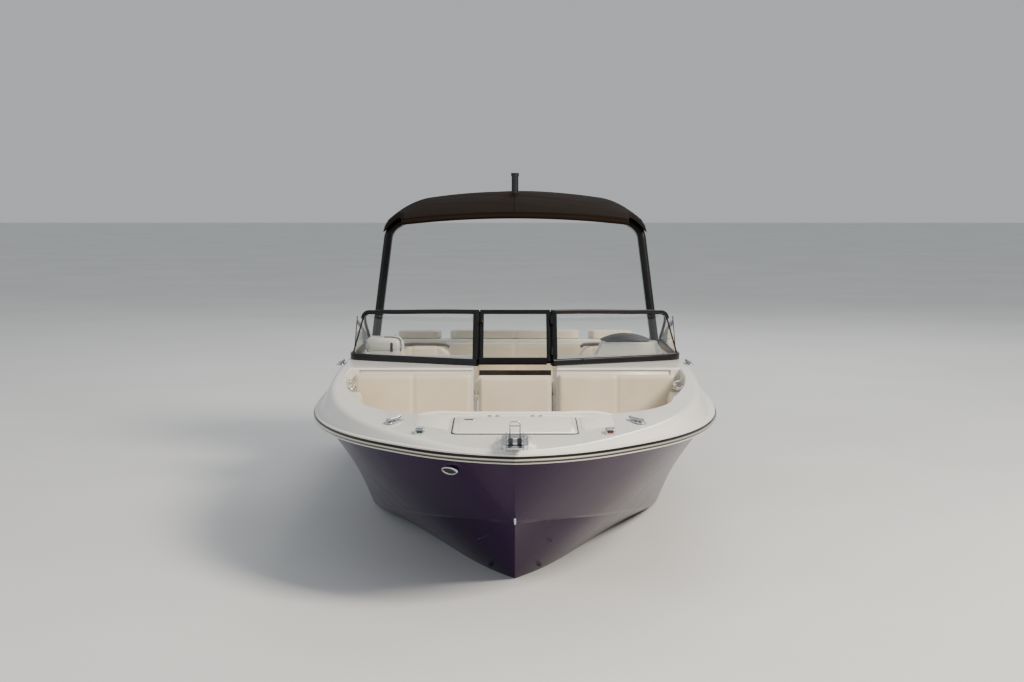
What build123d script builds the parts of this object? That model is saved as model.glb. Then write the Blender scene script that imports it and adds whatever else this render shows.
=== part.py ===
"""Open bowrider speedboat with a folding windshield gate, an arch with a canvas top and a sterndrive.

Millimetres. +X is the port side, the bow points to -Y and +Z is up.
The origin is on the centreline, amidships, at the waterline.
A station s is the distance aft of the bow tip, so that Y = s + BOW_Y.
"""

from build123d import *
import math
import os

os.makedirs("parts", exist_ok=True)

# Hull
HULL_LENGTH = 6600.0
BOW_Y = -3300.0
SHEER_BOW_Z = 865.0
SHEER_STERN_Z = 766.0
STEM_RISE = 0.848  # height lost for each unit of length down the stem
STEM_CHINE_Z = 440.0  # where the chine leaves the stem
STEM_KEEL_Z = 385.0  # where the bottom panels start on the stem
CHINE_LIP = 34.0  # width of the flat under the chine
CHINE_DROP = 20.0
HULL_WALL = 12.0
TRANSOM_RAKE = 12.0  # degrees
# keel: station, height
KEEL = [(800, 187), (1000, 20), (1250, -128), (1750, -290), (2500, -385), (3500, -430), (5000, -432)]
KEEL_STERN_Z = -425.0
# chine: station, half breadth, height
CHINE = [(800, 205, 392), (1210, 466, 338), (1750, 660, 258), (2500, 850, 140), (3500, 1015, 5),
         (5000, 1070, -38)]
CHINE_STERN = (1050.0, -40.0)
# sheer: station, half breadth
SHEER = [(170, 362), (390, 581), (700, 817), (1210, 1057), (1750, 1188), (2500, 1256), (3500, 1272),
         (5000, 1262)]
SHEER_STERN_X = 1200.0
# spray strakes: share of the way from keel to chine, first station, last station
STRAKES = [(0.66, 1000, 6350), (0.36, 1150, 6350)]
STRAKE_WIDTH = 60.0

# Rub rail
RAIL_PROUD = 22.0
RAIL_ABOVE = 10.0
RAIL_BELOW = 38.0
INSERT_PROUD = 9.0
INSERT_HEIGHT = 18.0

# Deck
DECK_WALL = 12.0
DECK_TUMBLE = 0.5  # inward lean of the deck's sides
DECK_ROUND = 45.0  # rounding between the deck's top and its sides
RIM_ROUND = 7.0  # rounding of the openings' rims
CROWN = [(0.0, 905.0), (3300.0, 1040.0), (6600.0, 885.0)]  # deck top's arc: station, height
FOREDECK_END_S = 2700.0  # ahead of this the deck top runs straight down to the stem
FOREDECK_BOW_Z = 885.0
SEAM = 0.3  # gap between pieces that are laid on each other

# Bow cockpit, walk-through and main cockpit: station, half width of the opening
BOW_COCKPIT = [(1040, 500), (1160, 740), (1560, 935), (1980, 1045), (2640, 1085)]
POD_LOW_Z = 970.0
POD_TOP_Z = 1120.0
POD_LEAN = 60.0  # the instrument face leans forward by this much over the pod's height
WALK_HALF = 275.0
CONSOLE_FRONT_S = 2650.0
COWL_END_S = 3450.0
DASH_END_S = 3800.0
COCKPIT_HALF = 1085.0
COCKPIT_END_S = 5560.0
LINER_INSET = 26.0
LINER_WALL = 10.0
SOLE_Z = 260.0
BOW_SOLE_Z = 300.0
BOW_SEAT_Z = 520.0
BOW_PAD = 110.0
FOOTWELL_HALF = 250.0
FOOTWELL_S = 1500.0

# Engine bay and hatch
HATCH_FRONT_S = 5640.0
HATCH_BACK_S = 6440.0
HATCH_HALF = 560.0
HATCH_THICK = 26.0
HATCH_GAP = 6.0

# Anchor locker
LOCKER_FRONT_S = 470.0
LOCKER_BACK_S = 930.0
LOCKER_FRONT_HALF = 235.0
LOCKER_BACK_HALF = 325.0
LOCKER_FLOOR_Z = 640.0
LID_THICK = 22.0
LID_GAP = 5.0

# Windshield: station, half breadth, height of the frame's centre lines
SHIELD_BASE_IN = (2760.0, 262.0, 1048.0)
SHIELD_BASE_OUT = (3160.0, 1110.0, 1050.0)
SHIELD_BASE_AFT = (4385.0, 1105.0, 1038.0)
SHIELD_AFT_RISE = 48.0  # height of the side pane's short aft edge
SHIELD_TOP_IN = (3050.0, 262.0, 1372.0)
SHIELD_TOP_OUT = (3440.0, 1050.0, 1330.0)
FRAME_WIDTH = 26.0
FRAME_DEPTH = 30.0
GLASS = 6.0
GATE_GAP = 12.0
GATE_HINGE_X = 247.0
GATE_HINGE_OUT = 23.0  # hinge pins in front of the gate's middle plane

# Bow door
DOOR_THICK = 24.0
DOOR_TOP_Z = 985.0
DOOR_HINGE_X = -250.0
DOOR_HALF = 240.0
DOOR_EDGE = 11.0  # from the hinge line to the door's edge

# Arch and canvas top
ARCH_FOOT_S = 4520.0
ARCH_FOOT_X = 1075.0
ARCH_KNEE = (4600.0, 965.0, 1900.0)
ARCH_TOP = (4640.0, 700.0, 2064.0)
ARCH_SECTION = (62.0, 120.0)  # across, along
ARCH_PLATE = 14.0

# Canvas top
# cross sections of the top: station, half width, height in the middle and at the edge
CANOPY = [(3900, 815, 2038, 1992), (4640, 835, 2188, 2108), (5250, 800, 2112, 2052)]
CANOPY_THICK = 22.0
BOW_INSET = 30.0
BOW_TUBE_R = 12.0
RIDGE_X = 480.0
RIDGE_DROP = 3.0
MAST_S = 4450.0
MAST_R = 26.0
MAST_HEIGHT = 156.0
LENS_HEIGHT = 26.0

# Aft bench
BENCH_FRONT_S = 5080.0
BENCH_SEAT_Z = 560.0
BENCH_PAD = 120.0
BENCH_BACK = 118.0
BENCH_PLACES = 3
BENCH_PLACE_WIDTH = 640.0

# Helm and seats
HELM_X = 750.0
SEAT_X = 700.0
SEAT_S = 4500.0
SEAT_Z = 560.0
WHEEL_R = 175.0
WHEEL_S = 3985.0
WHEEL_Z = 845.0
WHEEL_TILT = 25.0
BOSS_BACK = 30.0

# Engine block
ENGINE_S = (5720.0, 6330.0)
ENGINE_HALF = 330.0
ENGINE_Z = (-200.0, 560.0)

# Hinges
HINGE_PIN_R = 3.5
KNUCKLE_R = 6.0
HINGE_LENGTH = 66.0
HINGE_RISE = 8.0  # lid hinges' pins above the deck
LEAF = 3.0
LOCKER_HINGE_X = 120.0
HATCH_HINGE_X = 330.0
DOOR_HINGE_ZS = (440.0, 850.0)

# Swim platform
PLATFORM_END_S = 7120.0
PLATFORM_HALF = 1080.0
PLATFORM_Z = 312.0
PLATFORM_THICK = 62.0

# Sterndrive: the steering axis and the tilt axis cross at the pivot
PIVOT_S = 6660.0
PIVOT_Z = 20.0
HOUSING_BACK_S = 6530.0
RING_HALF_X = 130.0
RING_HALF_Z = 165.0
RING_DEPTH = 50.0
RING_OPEN_X = 108.0
RING_OPEN_Z = 128.0
PIN_R = 14.0
PIN_CLEARANCE = 0.3
SHAFT_DROP = 605.0  # propeller shaft below the pivot
PLATE_DROP = 400.0  # plate over the propeller, below the pivot
TORPEDO_R = 55.0
PROP_R = 178.0
PROP_PITCH = 480.0
PROP_BLADES = 4
HUB_R = 46.0
HUB_LENGTH = 110.0
HUB_START = 345.0  # hub face behind the pivot
SHAFT_R = 12.0
SHAFT_CLEARANCE = 0.1
SHAFT_PROUD = 30.0

# Trim cylinders: both eyes' places behind and above the pivot
TRIM_X = 165.0
TRIM_RING_EYE = (-10.0, -110.0)
TRIM_LEG_EYE = (215.0, -60.0)
BARREL_R = 24.0
ROD_R = 11.0
EYE_R = 24.0
EYE_PIN_R = 9.0
ROD_EYE_HOLE_R = 16.0


def at(s, x, z):
    """A point given by its station, its half breadth and its height."""
    return Vector(x, s + BOW_Y, z)


def sheer_z(s):
    return SHEER_BOW_Z + (SHEER_STERN_Z - SHEER_BOW_Z) * s / HULL_LENGTH


def stem_s(z):
    return (SHEER_BOW_Z - z) / STEM_RISE


def crown_circle():
    """Centre and radius of the deck's long crown in the side view."""
    (s1, z1), (s2, z2), (s3, z3) = CROWN
    a = s2 - s1
    b = z2 - z1
    c = s3 - s1
    d = z3 - z1
    e = (a * a + b * b) / 2
    f = (c * c + d * d) / 2
    det = a * d - b * c
    cs = (e * d - b * f) / det
    cz = (a * f - e * c) / det
    return s1 + cs, z1 + cz, math.hypot(cs, cz)


def crown_z(s):
    cs, cz, radius = crown_circle()
    z = cz + math.sqrt(radius ** 2 - (max(s, FOREDECK_END_S) - cs) ** 2)
    if s < FOREDECK_END_S:
        z -= (z - FOREDECK_BOW_Z) * (FOREDECK_END_S - s) / FOREDECK_END_S
    return z


def spline(points):
    return Edge.make_spline([at(*p) for p in points])


def mirrored(points):
    return [(s, -x, z) for s, x, z in points]


# Hull form

def hull_lines(inset=0.0):
    """Sheer, chine edge, chine root and keel of one side, set in by a wall thickness."""
    tip = inset * 1.3
    end = HULL_LENGTH - inset
    sheer = [(tip, 0.0)]
    sheer += [(s + inset * max(0.0, 1 - s / 1500), x - inset) for s, x in SHEER]
    sheer += [(end, SHEER_STERN_X - inset)]
    sheer = [(s, x, sheer_z(s)) for s, x in sheer]
    chine = [(s, x - inset, z) for s, x, z in CHINE] + [(end, CHINE_STERN[0] - inset, CHINE_STERN[1])]
    root = [(s, max(x - CHINE_LIP, 20.0), z - min(CHINE_DROP + 10, 8 + x * 0.02)) for s, x, z in chine]
    chine = [(stem_s(STEM_CHINE_Z) + tip, 0.0, STEM_CHINE_Z)] + chine
    root_z = STEM_CHINE_Z - CHINE_LIP
    root = [(stem_s(root_z) + tip, 0.0, root_z)] + root
    keel = [(stem_s(STEM_KEEL_Z) + tip, 0.0, STEM_KEEL_Z)]
    for s, z in KEEL:
        on_stem = s < 1100
        keel.append((s + tip, 0.0, z) if on_stem else (s, 0.0, z + inset * 1.1))
    keel.append((end, 0.0, KEEL_STERN_Z + inset * 1.1))
    return sheer, chine, root, keel


def hull_solid(inset=0.0):
    """The hull's outer form, closed at the sheer, or the same form set in by a wall."""
    sheer, chine, root, keel = hull_lines(inset)
    keel_edge = spline(keel)
    faces = []
    tops = []
    for side in (1, -1):
        lines = [[(s, side * x, z) for s, x, z in line] for line in (sheer, chine, root)]
        edges = [spline(line) for line in lines]
        faces += [Face.make_surface_from_curves(edges[0], edges[1]),
                  Face.make_surface_from_curves(edges[1], edges[2]),
                  Face.make_surface_from_curves(edges[2], keel_edge)]
        tops.append(edges[0])
    faces.append(Face(Wire([tops[0], Edge.make_line(tops[0] @ 1, tops[1] @ 1), tops[1]])))
    end_y = HULL_LENGTH - inset + BOW_Y
    rim = [e for e in Shell(faces).edges() if abs(e.center().Y - end_y) < 0.5]
    faces += [Face(w) for w in Wire.combine(rim)]
    solid = Solid(Shell(faces))
    return solid - transom_wedge(inset)


def transom_wedge(inset):
    """What the raked transom takes off the hull's square end."""
    top_s = HULL_LENGTH - inset
    depth = 1400.0
    lean = depth * math.tan(math.radians(TRANSOM_RAKE))
    top = at(top_s, 0, SHEER_STERN_Z)
    low = at(top_s - lean, 0, SHEER_STERN_Z - depth)
    far = at(top_s + 300, 0, SHEER_STERN_Z - depth)
    face = Face(Wire.make_polygon([top, low, far, at(top_s + 300, 0, SHEER_STERN_Z)]))
    return extrude(face, amount=2000, dir=(1, 0, 0), both=True)


def transom_s(z):
    return HULL_LENGTH - (SHEER_STERN_Z - z) * math.tan(math.radians(TRANSOM_RAKE))


def station_point(points, s):
    """The point of a long line at a station, found along its spline."""
    edge = spline(points)
    low = 0.0
    high = 1.0
    for _ in range(30):
        middle = (low + high) / 2
        if (edge @ middle).Y - BOW_Y < s:
            low = middle
        else:
            high = middle
    return edge @ low


def strake(share, first, last, side):
    """A wedge along the bottom with a flat lower face and a sharp outer edge."""
    _, _, root, keel = hull_lines()
    sections = []
    count = 5
    for i in range(count):
        s = first + (last - first) * i / (count - 1)
        outer = station_point(root, s)
        inner = station_point(keel, s)
        width = STRAKE_WIDTH * (0.35 if i == 0 else 1.0)
        slope = (outer.Z - inner.Z) / (outer.X - inner.X)
        x = inner.X + (outer.X - inner.X) * share
        z = inner.Z + (x - inner.X) * slope
        sunk = 8.0
        corners = [(x - width, z - width * slope + sunk), (x, z - width * slope * 0.8), (x, z + sunk)]
        sections.append(Wire.make_polygon([at(s, side * cx, cz) for cx, cz in corners]))
    return Solid.make_loft(sections, ruled=True)


def make_hull():
    hull = hull_solid() - hull_solid(HULL_WALL)
    for share, first, last in STRAKES:
        for side in (1, -1):
            hull = hull + (strake(share, first, last, side) - hull_solid(HULL_WALL / 2))
    return hull


# Deck

def sheer_face(outset=0.0, lift=0.0, aft=0.0):
    """The plan outline at the sheer, moved out and up, in a plane along the sheer."""
    points = [(-outset * 1.3, 0.0)]
    points += [(s - outset * max(0.0, 1 - s / 1500), x + outset) for s, x in SHEER]
    points += [(HULL_LENGTH + aft, SHEER_STERN_X + outset)]
    points = [(s, x, sheer_z(s) + lift) for s, x in points]
    port = spline(points)
    starboard = spline(mirrored(points))
    return Face(Wire([port, Edge.make_line(port @ 1, starboard @ 1), starboard]))


def under_crown(drop, low=-800.0):
    """Everything under the deck's crown, lowered by drop."""
    ends = [at(-200, 0, 0), at(HULL_LENGTH + 200, 0, 0)]
    cs, cz, radius = crown_circle()
    radius -= drop
    arc_points = []
    for s in (FOREDECK_END_S, (FOREDECK_END_S + HULL_LENGTH) / 2, HULL_LENGTH + 200):
        arc_points.append(at(s, 0, cz + math.sqrt(radius ** 2 - (s - cs) ** 2)))
    arc = Edge.make_three_point_arc(*arc_points)
    tip = at(-200, 0, crown_z(-200) - drop)
    first = Vector(0, ends[0].Y, low)
    last = Vector(0, ends[1].Y, low)
    face = Face(Wire([arc, Edge.make_line(arc @ 1, last), Edge.make_line(last, first),
                      Edge.make_line(first, tip), Edge.make_line(tip, arc @ 0)]))
    return extrude(face, amount=1600, dir=(1, 0, 0), both=True)


def runs_along_crown(edge):
    """Whether an edge runs fore and aft along the deck's top."""
    spots = [edge @ t for t in (0.1, 0.5, 0.9)]
    on_top = all(abs(p.Z - crown_z(p.Y - BOW_Y)) < 0.5 for p in spots)
    return on_top and abs(spots[2].Y - spots[0].Y) > abs(spots[2].X - spots[0].X) / 4


def deck_solid(inset=0.0, drop=0.0, lift=0.0):
    """The deck's form from the sheer up to the crown, rounded where it isn't set in."""
    rise = 330.0
    low = sheer_face(-inset, lift, -inset)
    high = sheer_face(-inset - rise * DECK_TUMBLE, rise, -inset)
    body = Solid.make_loft([low.outer_wire(), high.outer_wire()], ruled=True)
    body = body & under_crown(drop)
    return body if inset else fillet([e for e in body.edges() if runs_along_crown(e)], DECK_ROUND)


def plan(points):
    """A face drawn in plan from a list of edges or points, at height zero."""
    return Face(Wire.make_polygon([Vector(x, s + BOW_Y, 0) for s, x in points]))


def bow_outline(inset=0.0):
    """The bow cockpit's opening in plan."""
    points = [(BOW_COCKPIT[0][0] + inset, BOW_COCKPIT[0][1] - inset * 0.6)]
    points += [(s, x - inset) for s, x in BOW_COCKPIT[1:-1]]
    points += [(BOW_COCKPIT[-1][0] - inset, BOW_COCKPIT[-1][1] - inset)]
    port = [at(s, x, 0) for s, x in points]
    starboard = [at(s, -x, 0) for s, x in points]
    edges = [Edge.make_three_point_arc(port[0], port[1], port[2]),
             Edge.make_three_point_arc(port[2], port[3], port[4]),
             Edge.make_line(port[4], starboard[4]),
             Edge.make_three_point_arc(starboard[4], starboard[3], starboard[2]),
             Edge.make_three_point_arc(starboard[2], starboard[1], starboard[0]),
             Edge.make_line(starboard[0], port[0])]
    return Face(Wire(edges))


def column(face, low, high):
    """A plan face made a solid between two heights."""
    return extrude(face.moved(Location((0, 0, low))), amount=high - low, dir=(0, 0, 1))


def block(s_range, x_range, z_range):
    """A box given by its stations, half breadths and heights."""
    size = (x_range[1] - x_range[0], s_range[1] - s_range[0], z_range[1] - z_range[0])
    return Solid.make_box(*size, Plane(at(s_range[0], x_range[0], z_range[0])))


def rounded_block(s_range, x_range, z_range, radius):
    """A box whose upright edges are rounded."""
    body = block(s_range, x_range, z_range)
    return fillet(body.edges().filter_by(Axis.Z), radius)


def cockpit_space(inset, low, high):
    """The space of the bow cockpit, the walk-through and the main cockpit."""
    bow = column(bow_outline(inset), low, high)
    walk = block((BOW_COCKPIT[-1][0] - 60, COWL_END_S + 60), (-WALK_HALF + inset, WALK_HALF - inset),
                 (low, high))
    main = rounded_block((COWL_END_S + inset, COCKPIT_END_S - inset),
                         (-COCKPIT_HALF + inset, COCKPIT_HALF - inset), (low, high), 90)
    return bow + walk + main


def locker_face(inset=0.0):
    """The anchor locker's opening in plan."""
    front = LOCKER_FRONT_HALF - inset
    back = LOCKER_BACK_HALF - inset
    face = plan([(LOCKER_FRONT_S + inset, -front), (LOCKER_FRONT_S + inset, front),
                 (LOCKER_BACK_S - inset, back), (LOCKER_BACK_S - inset, -back)])
    return fillet(face.vertices(), 40)


def on_crown(edge):
    """Whether an edge lies along the deck's top surface."""
    spots = [edge @ t for t in (0.1, 0.5, 0.9)]
    return all(abs(p.Z - crown_z(p.Y - BOW_Y)) < 0.5 for p in spots)


def make_deck():
    deck = deck_solid() - deck_solid(DECK_WALL, DECK_WALL, -1)
    deck -= column(locker_face(), 600, 1300)
    deck -= rounded_block((HATCH_FRONT_S, HATCH_BACK_S), (-HATCH_HALF, HATCH_HALF), (600, 1300), 50)
    before = deck.edges()
    deck -= cockpit_space(0, 600, 1300)
    rims = [e for e in deck.edges() - before if on_crown(e)]
    return fillet(rims, RIM_ROUND)


def make_rub_rail():
    slab = extrude(sheer_face(RAIL_PROUD, -RAIL_BELOW), amount=RAIL_BELOW + RAIL_ABOVE, dir=(0, 0, 1))
    return slab - hull_solid() - deck_solid()


def make_rail_insert():
    middle = (RAIL_ABOVE - RAIL_BELOW) / 2
    outer = sheer_face(RAIL_PROUD + INSERT_PROUD, middle - INSERT_HEIGHT / 2)
    inner = sheer_face(RAIL_PROUD, middle - INSERT_HEIGHT / 2)
    return extrude(outer - inner, amount=INSERT_HEIGHT, dir=(0, 0, 1))


# Cockpit liner

def liner_limit(inset, top_drop):
    """The room inside the hull, set in from it, up to the underside of the deck."""
    wall = sheer_face(-inset, -1)
    upper = extrude(wall, amount=500, dir=(0, 0, 1))
    return (hull_solid(inset) + upper) & under_crown(top_drop)


def liner_space(inset, low_bow, low_main, high):
    """The liner's plan room: bow cockpit and main cockpit under one deck."""
    bow = column(bow_outline(inset), low_bow, high)
    main = rounded_block((BOW_COCKPIT[-1][0] - 5 + inset, COCKPIT_END_S - inset),
                         (-COCKPIT_HALF + inset, COCKPIT_HALF - inset), (low_main, high), 90)
    return bow, main


def make_liner():
    top = DECK_WALL + SEAM
    bow, main = liner_space(-LINER_WALL, BOW_SOLE_Z - LINER_WALL, SOLE_Z - LINER_WALL, 1300)
    outer = (bow + main) & liner_limit(LINER_INSET, top)
    inner_room = liner_limit(LINER_INSET + LINER_WALL, top - 50)
    bow_in, main_in = liner_space(0, BOW_SEAT_Z, SOLE_Z, 1300)
    well = rounded_block((FOOTWELL_S, BOW_COCKPIT[-1][0] + 100), (-FOOTWELL_HALF, FOOTWELL_HALF),
                         (BOW_SOLE_Z, 1300), 60)
    liner = outer - (bow_in & inner_room) - (main_in & inner_room) - well
    well_wall = rounded_block((FOOTWELL_S - LINER_WALL, BOW_COCKPIT[-1][0] + 100),
                              (-FOOTWELL_HALF - LINER_WALL, FOOTWELL_HALF + LINER_WALL),
                              (BOW_SOLE_Z - LINER_WALL, 1300), 60)
    under_bow, _ = liner_space(LINER_WALL, -500, -500, BOW_SEAT_Z - LINER_WALL)
    under = (under_bow & liner_limit(LINER_INSET + LINER_WALL, top)) - well_wall
    aft_wall = block((BOW_COCKPIT[-1][0] - 15 - LINER_WALL, BOW_COCKPIT[-1][0] + 200), (-1500, 1500),
                     (-500, BOW_SEAT_Z))
    return liner - (under - aft_wall)


def make_locker_liner():
    """The tub under the anchor locker's lid, with the ledge that the lid lies on."""
    top = DECK_WALL + SEAM
    outer = column(locker_face(-LINER_WALL), LOCKER_FLOOR_Z - LINER_WALL, 1300)
    outer = outer & liner_limit(LINER_INSET, top)
    ledge_z = crown_z(LOCKER_FRONT_S) - LID_THICK - 6
    narrow = column(locker_face(18), LOCKER_FLOOR_Z, ledge_z)
    wide = column(locker_face(0), ledge_z - 0.01, 1300)
    return outer - ((narrow + wide) & liner_limit(LINER_INSET + LINER_WALL, top - 50))


def make_console(side):
    """One console: front wall, inner wall, dash and the pod that stands over the deck."""
    low = SOLE_Z + SEAM
    x_in = WALK_HALF + SEAM
    x_out = COCKPIT_HALF - SEAM
    room = liner_limit(LINER_INSET + LINER_WALL + SEAM, DECK_WALL + 2 * SEAM)
    _, tub = liner_space(SEAM, low, low, 1300)
    body = block((CONSOLE_FRONT_S, COWL_END_S - SEAM), (x_in, x_out), (low, 1300)) & room
    back = block((COWL_END_S - 1, DASH_END_S), (x_in, x_out), (low, POD_LOW_Z))
    body = body + (back & liner_limit(LINER_INSET + LINER_WALL + SEAM, -200))
    body = body & tub
    wall = 16.0
    knee_z = 640.0
    leg_room = block((CONSOLE_FRONT_S + wall, DASH_END_S + 100), (x_in + wall, x_out + 100),
                     (low - 10, knee_z))
    body = body - leg_room
    pod = Solid.make_loft([
        Wire.make_polygon([at(COWL_END_S + SEAM, 560, 990), at(DASH_END_S, 560, POD_LOW_Z),
                           at(DASH_END_S, 1070, POD_LOW_Z), at(COWL_END_S + SEAM, 1070, 990)]),
        Wire.make_polygon([at(COWL_END_S + 110, 620, POD_TOP_Z + 8), at(DASH_END_S - POD_LEAN, 620, POD_TOP_Z),
                           at(DASH_END_S - POD_LEAN, 1010, POD_TOP_Z), at(COWL_END_S + 110, 1010, POD_TOP_Z + 8)])])
    pod = fillet(pod.edges().group_by(Axis.Z)[-1], 30)
    body = body + pod
    under_dash = plan_prism([(DASH_END_S + 60, 900), (DASH_END_S, 900), (DASH_END_S - 60, 700),
                             (DASH_END_S - 60, 200), (DASH_END_S + 60, 200)], (0, 1200))
    body = body - under_dash
    return body if side > 0 else mirror(body, about=Plane.YZ)


def plan_prism(side_points, x_range):
    """A prism drawn in the side view, station and height, between two half breadths."""
    face = Face(Wire.make_polygon([at(s, x_range[0], z) for s, z in side_points]))
    return extrude(face, amount=x_range[1] - x_range[0], dir=(1, 0, 0))


def pad(s_range, x_range, z_range, radius=18.0):
    """A plain closed cushion with rounded upright edges and bevelled tops."""
    body = block(s_range, x_range, z_range)
    body = fillet(body.edges().filter_by(Axis.Z), radius)
    return chamfer(body.edges().group_by(Axis.Z)[-1], radius * 0.5)


def make_console_pads():
    """The padded panels on the consoles' front walls."""
    pads = []
    for side in (1, -1):
        x_range = (WALK_HALF + 2, 1062)
        body = pad((CONSOLE_FRONT_S - 46, CONSOLE_FRONT_S - SEAM), x_range, (BOW_SEAT_Z + 130, 1005))
        bow, tub = liner_space(1.5, 0, 0, 1300)
        room = liner_limit(LINER_INSET + LINER_WALL + 4, DECK_WALL + 4) & (bow + tub)
        body = body & room
        pads.append(body if side > 0 else mirror(body, about=Plane.YZ))
    return pads


def bow_cushion_space(inset, low, high):
    """The U-shaped room over the bow seats, open along the footwell."""
    bow = column(bow_outline(inset), low, high)
    well = rounded_block((FOOTWELL_S - 12, BOW_COCKPIT[-1][0] + 100),
                         (-FOOTWELL_HALF - 12, FOOTWELL_HALF + 12), (low - 1, high + 1), 60)
    tail = block((CONSOLE_FRONT_S - 50, CONSOLE_FRONT_S + 200), (-1500, 1500), (low - 1, high + 1))
    return bow - well - tail


def make_bow_seats():
    """The seat cushion that runs round the bow cockpit."""
    room = liner_limit(LINER_INSET + LINER_WALL + 4, DECK_WALL + 4)
    return bow_cushion_space(3, BOW_SEAT_Z + SEAM, BOW_SEAT_Z + BOW_PAD) & room


def make_bow_backs():
    """The side bolsters over the bow seats."""
    room = liner_limit(LINER_INSET + LINER_WALL + 4, DECK_WALL + 4)
    band = column(bow_outline(4), BOW_SEAT_Z + BOW_PAD + SEAM, 900) & room
    core = column(bow_outline(94), 400, 1300)
    tail = block((CONSOLE_FRONT_S - 112, CONSOLE_FRONT_S + 200), (-1500, 1500), (400, 1300))
    band = band - core - tail
    front = block((900, 1180), (-430, 430), (400, 1300))
    return (band - front).solids()


# Hinges

def hinge_set(place, axis):
    """A pin with its two outer knuckles, and the middle knuckle that turns on it."""
    third = HINGE_LENGTH / 3
    start = place - axis * (HINGE_LENGTH / 2)
    fixed = Solid.make_cylinder(HINGE_PIN_R, HINGE_LENGTH, Plane(start, z_dir=axis))
    for shift in (0, 2 * third + 1):
        fixed = fixed + Solid.make_cylinder(KNUCKLE_R, third - 1, Plane(start + axis * shift, z_dir=axis))
    turning = Solid.make_cylinder(KNUCKLE_R, third - 1, Plane(start + axis * (third + 0.5), z_dir=axis))
    return fixed, turning - Solid.make_cylinder(HINGE_PIN_R + PIN_CLEARANCE, HINGE_LENGTH, Plane(start, z_dir=axis))


def lid_hinge(s, x):
    """A hinge lying on the deck at a lid's aft edge: the fixed half and the lid's half."""
    place = at(s, x, crown_z(s) + HINGE_RISE)
    axis = Vector(1, 0, 0)
    fixed, turning = hinge_set(place, axis)
    third = HINGE_LENGTH / 3
    z_range = (place.Z - HINGE_RISE - 12, place.Z - HINGE_RISE + LEAF + SEAM)
    half = HINGE_LENGTH / 2
    for low, high in ((x - half, x - half + third - 1), (x + half - third + 1, x + half)):
        web = block((s, s + 4), (low, high), (z_range[0], place.Z))
        fixed = fixed + (web - under_crown(-SEAM))
    leaf = block((s + KNUCKLE_R + 0.5, s + 34), (x - half, x + half), z_range)
    ears = [block((s, s + 12), (low, high), z_range)
            for low, high in ((x - half, x - half + third - 1), (x + half - third + 1, x + half))]
    leaf = leaf + ears[0] + ears[1]
    fixed = fixed + (leaf - under_crown(-SEAM))
    hole = Solid.make_cylinder(HINGE_PIN_R + PIN_CLEARANCE, HINGE_LENGTH,
                               Plane(place - axis * half, z_dir=axis))
    lid_leaf = block((s - 34, s - KNUCKLE_R - 0.5), (x - half, x + half), z_range)
    ear = block((s - 12, s), (x - third / 2 + 0.5, x + third / 2 - 0.5), z_range)
    web = block((s - 4, s), (x - third / 2 + 0.5, x + third / 2 - 0.5), (z_range[0], place.Z))
    lid_leaf = (lid_leaf + ear + web) - under_crown(-SEAM)
    return fixed, turning + (lid_leaf - hole)


def gate_hinge_line():
    """Base point, direction and outward normal of the gate's hinge pins."""
    base = at(SHIELD_BASE_IN[0], GATE_HINGE_X, SHIELD_BASE_IN[2])
    top = at(SHIELD_TOP_IN[0], GATE_HINGE_X, SHIELD_TOP_IN[2])
    along = (top - base).normalized()
    out = Vector(0, -along.Z, along.Y)
    return base + out * GATE_HINGE_OUT, along, out, (top - base).length


def gate_hinges():
    """Both hinges of the gate: the halves on the post and the halves on the gate."""
    base, along, out, length = gate_hinge_line()
    third = HINGE_LENGTH / 3
    posts = []
    gates = []
    for share in (0.2, 0.8):
        place = base + along * (length * share)
        fixed, turning = hinge_set(place, along)
        # lug and leaf outlines: way to port from the pin, way out from the pin
        lug = [(-4, 3), (2, 5), (26, -9), (26, -20), (13, -20), (-2, -4)]
        leaf = [(-2, 4), (3, -1), (-10, -12), (-20, -12), (-20, -9)]
        for outline, shift, group in ((lug, -HINGE_LENGTH / 2, "post"), (lug, third / 2 + 1, "post"),
                                      (leaf, -third / 2 + 0.5, "gate")):
            corners = [place + along * shift + Vector(a, 0, 0) + out * b for a, b in outline]
            piece = extrude(Face(Wire.make_polygon(corners)), amount=third - 1, dir=along)
            if group == "post":
                fixed = fixed + piece
            else:
                turning = turning + piece
        hole = Solid.make_cylinder(HINGE_PIN_R + PIN_CLEARANCE, third + 1,
                                   Plane(place - along * (third + 1) / 2, z_dir=along))
        posts.append(fixed)
        gates.append(turning - hole)
    return posts, gates


def door_hinges():
    """Both hinges of the bow door: the halves on the console and the halves on the door."""
    s = CONSOLE_FRONT_S + 6 + DOOR_THICK / 2
    third = HINGE_LENGTH / 3
    fixed_halves = []
    door_halves = []
    for z in DOOR_HINGE_ZS:
        place = at(s, DOOR_HINGE_X, z)
        fixed, turning = hinge_set(place, Vector(0, 0, 1))
        for low in (z - HINGE_LENGTH / 2, z + third / 2 + 1):
            fixed = fixed + block((s - LEAF, s + LEAF), (-WALK_HALF, DOOR_HINGE_X), (low, low + third - 1))
        leaf = block((s - LEAF, s + LEAF), (DOOR_HINGE_X, DOOR_HINGE_X + DOOR_EDGE + 4),
                     (z - third / 2 + 0.5, z + third / 2 - 0.5))
        hole = Solid.make_cylinder(HINGE_PIN_R + PIN_CLEARANCE, third + 1,
                                   Plane(place - Vector(0, 0, (third + 1) / 2)))
        fixed_halves.append(fixed)
        door_halves.append(turning + (leaf - hole))
    return fixed_halves, door_halves


# Windshield

def bar(start, end, width, depth, facing):
    """A rounded bar between two points, its depth turned towards facing."""
    direction = (end - start).normalized()
    plane = Plane(origin=start, x_dir=facing.cross(direction), z_dir=direction)
    face = Face.make_rect(width, depth, plane)
    face = fillet(face.vertices(), min(width, depth) * 0.28)
    return extrude(face, amount=(end - start).length, dir=direction)


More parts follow.
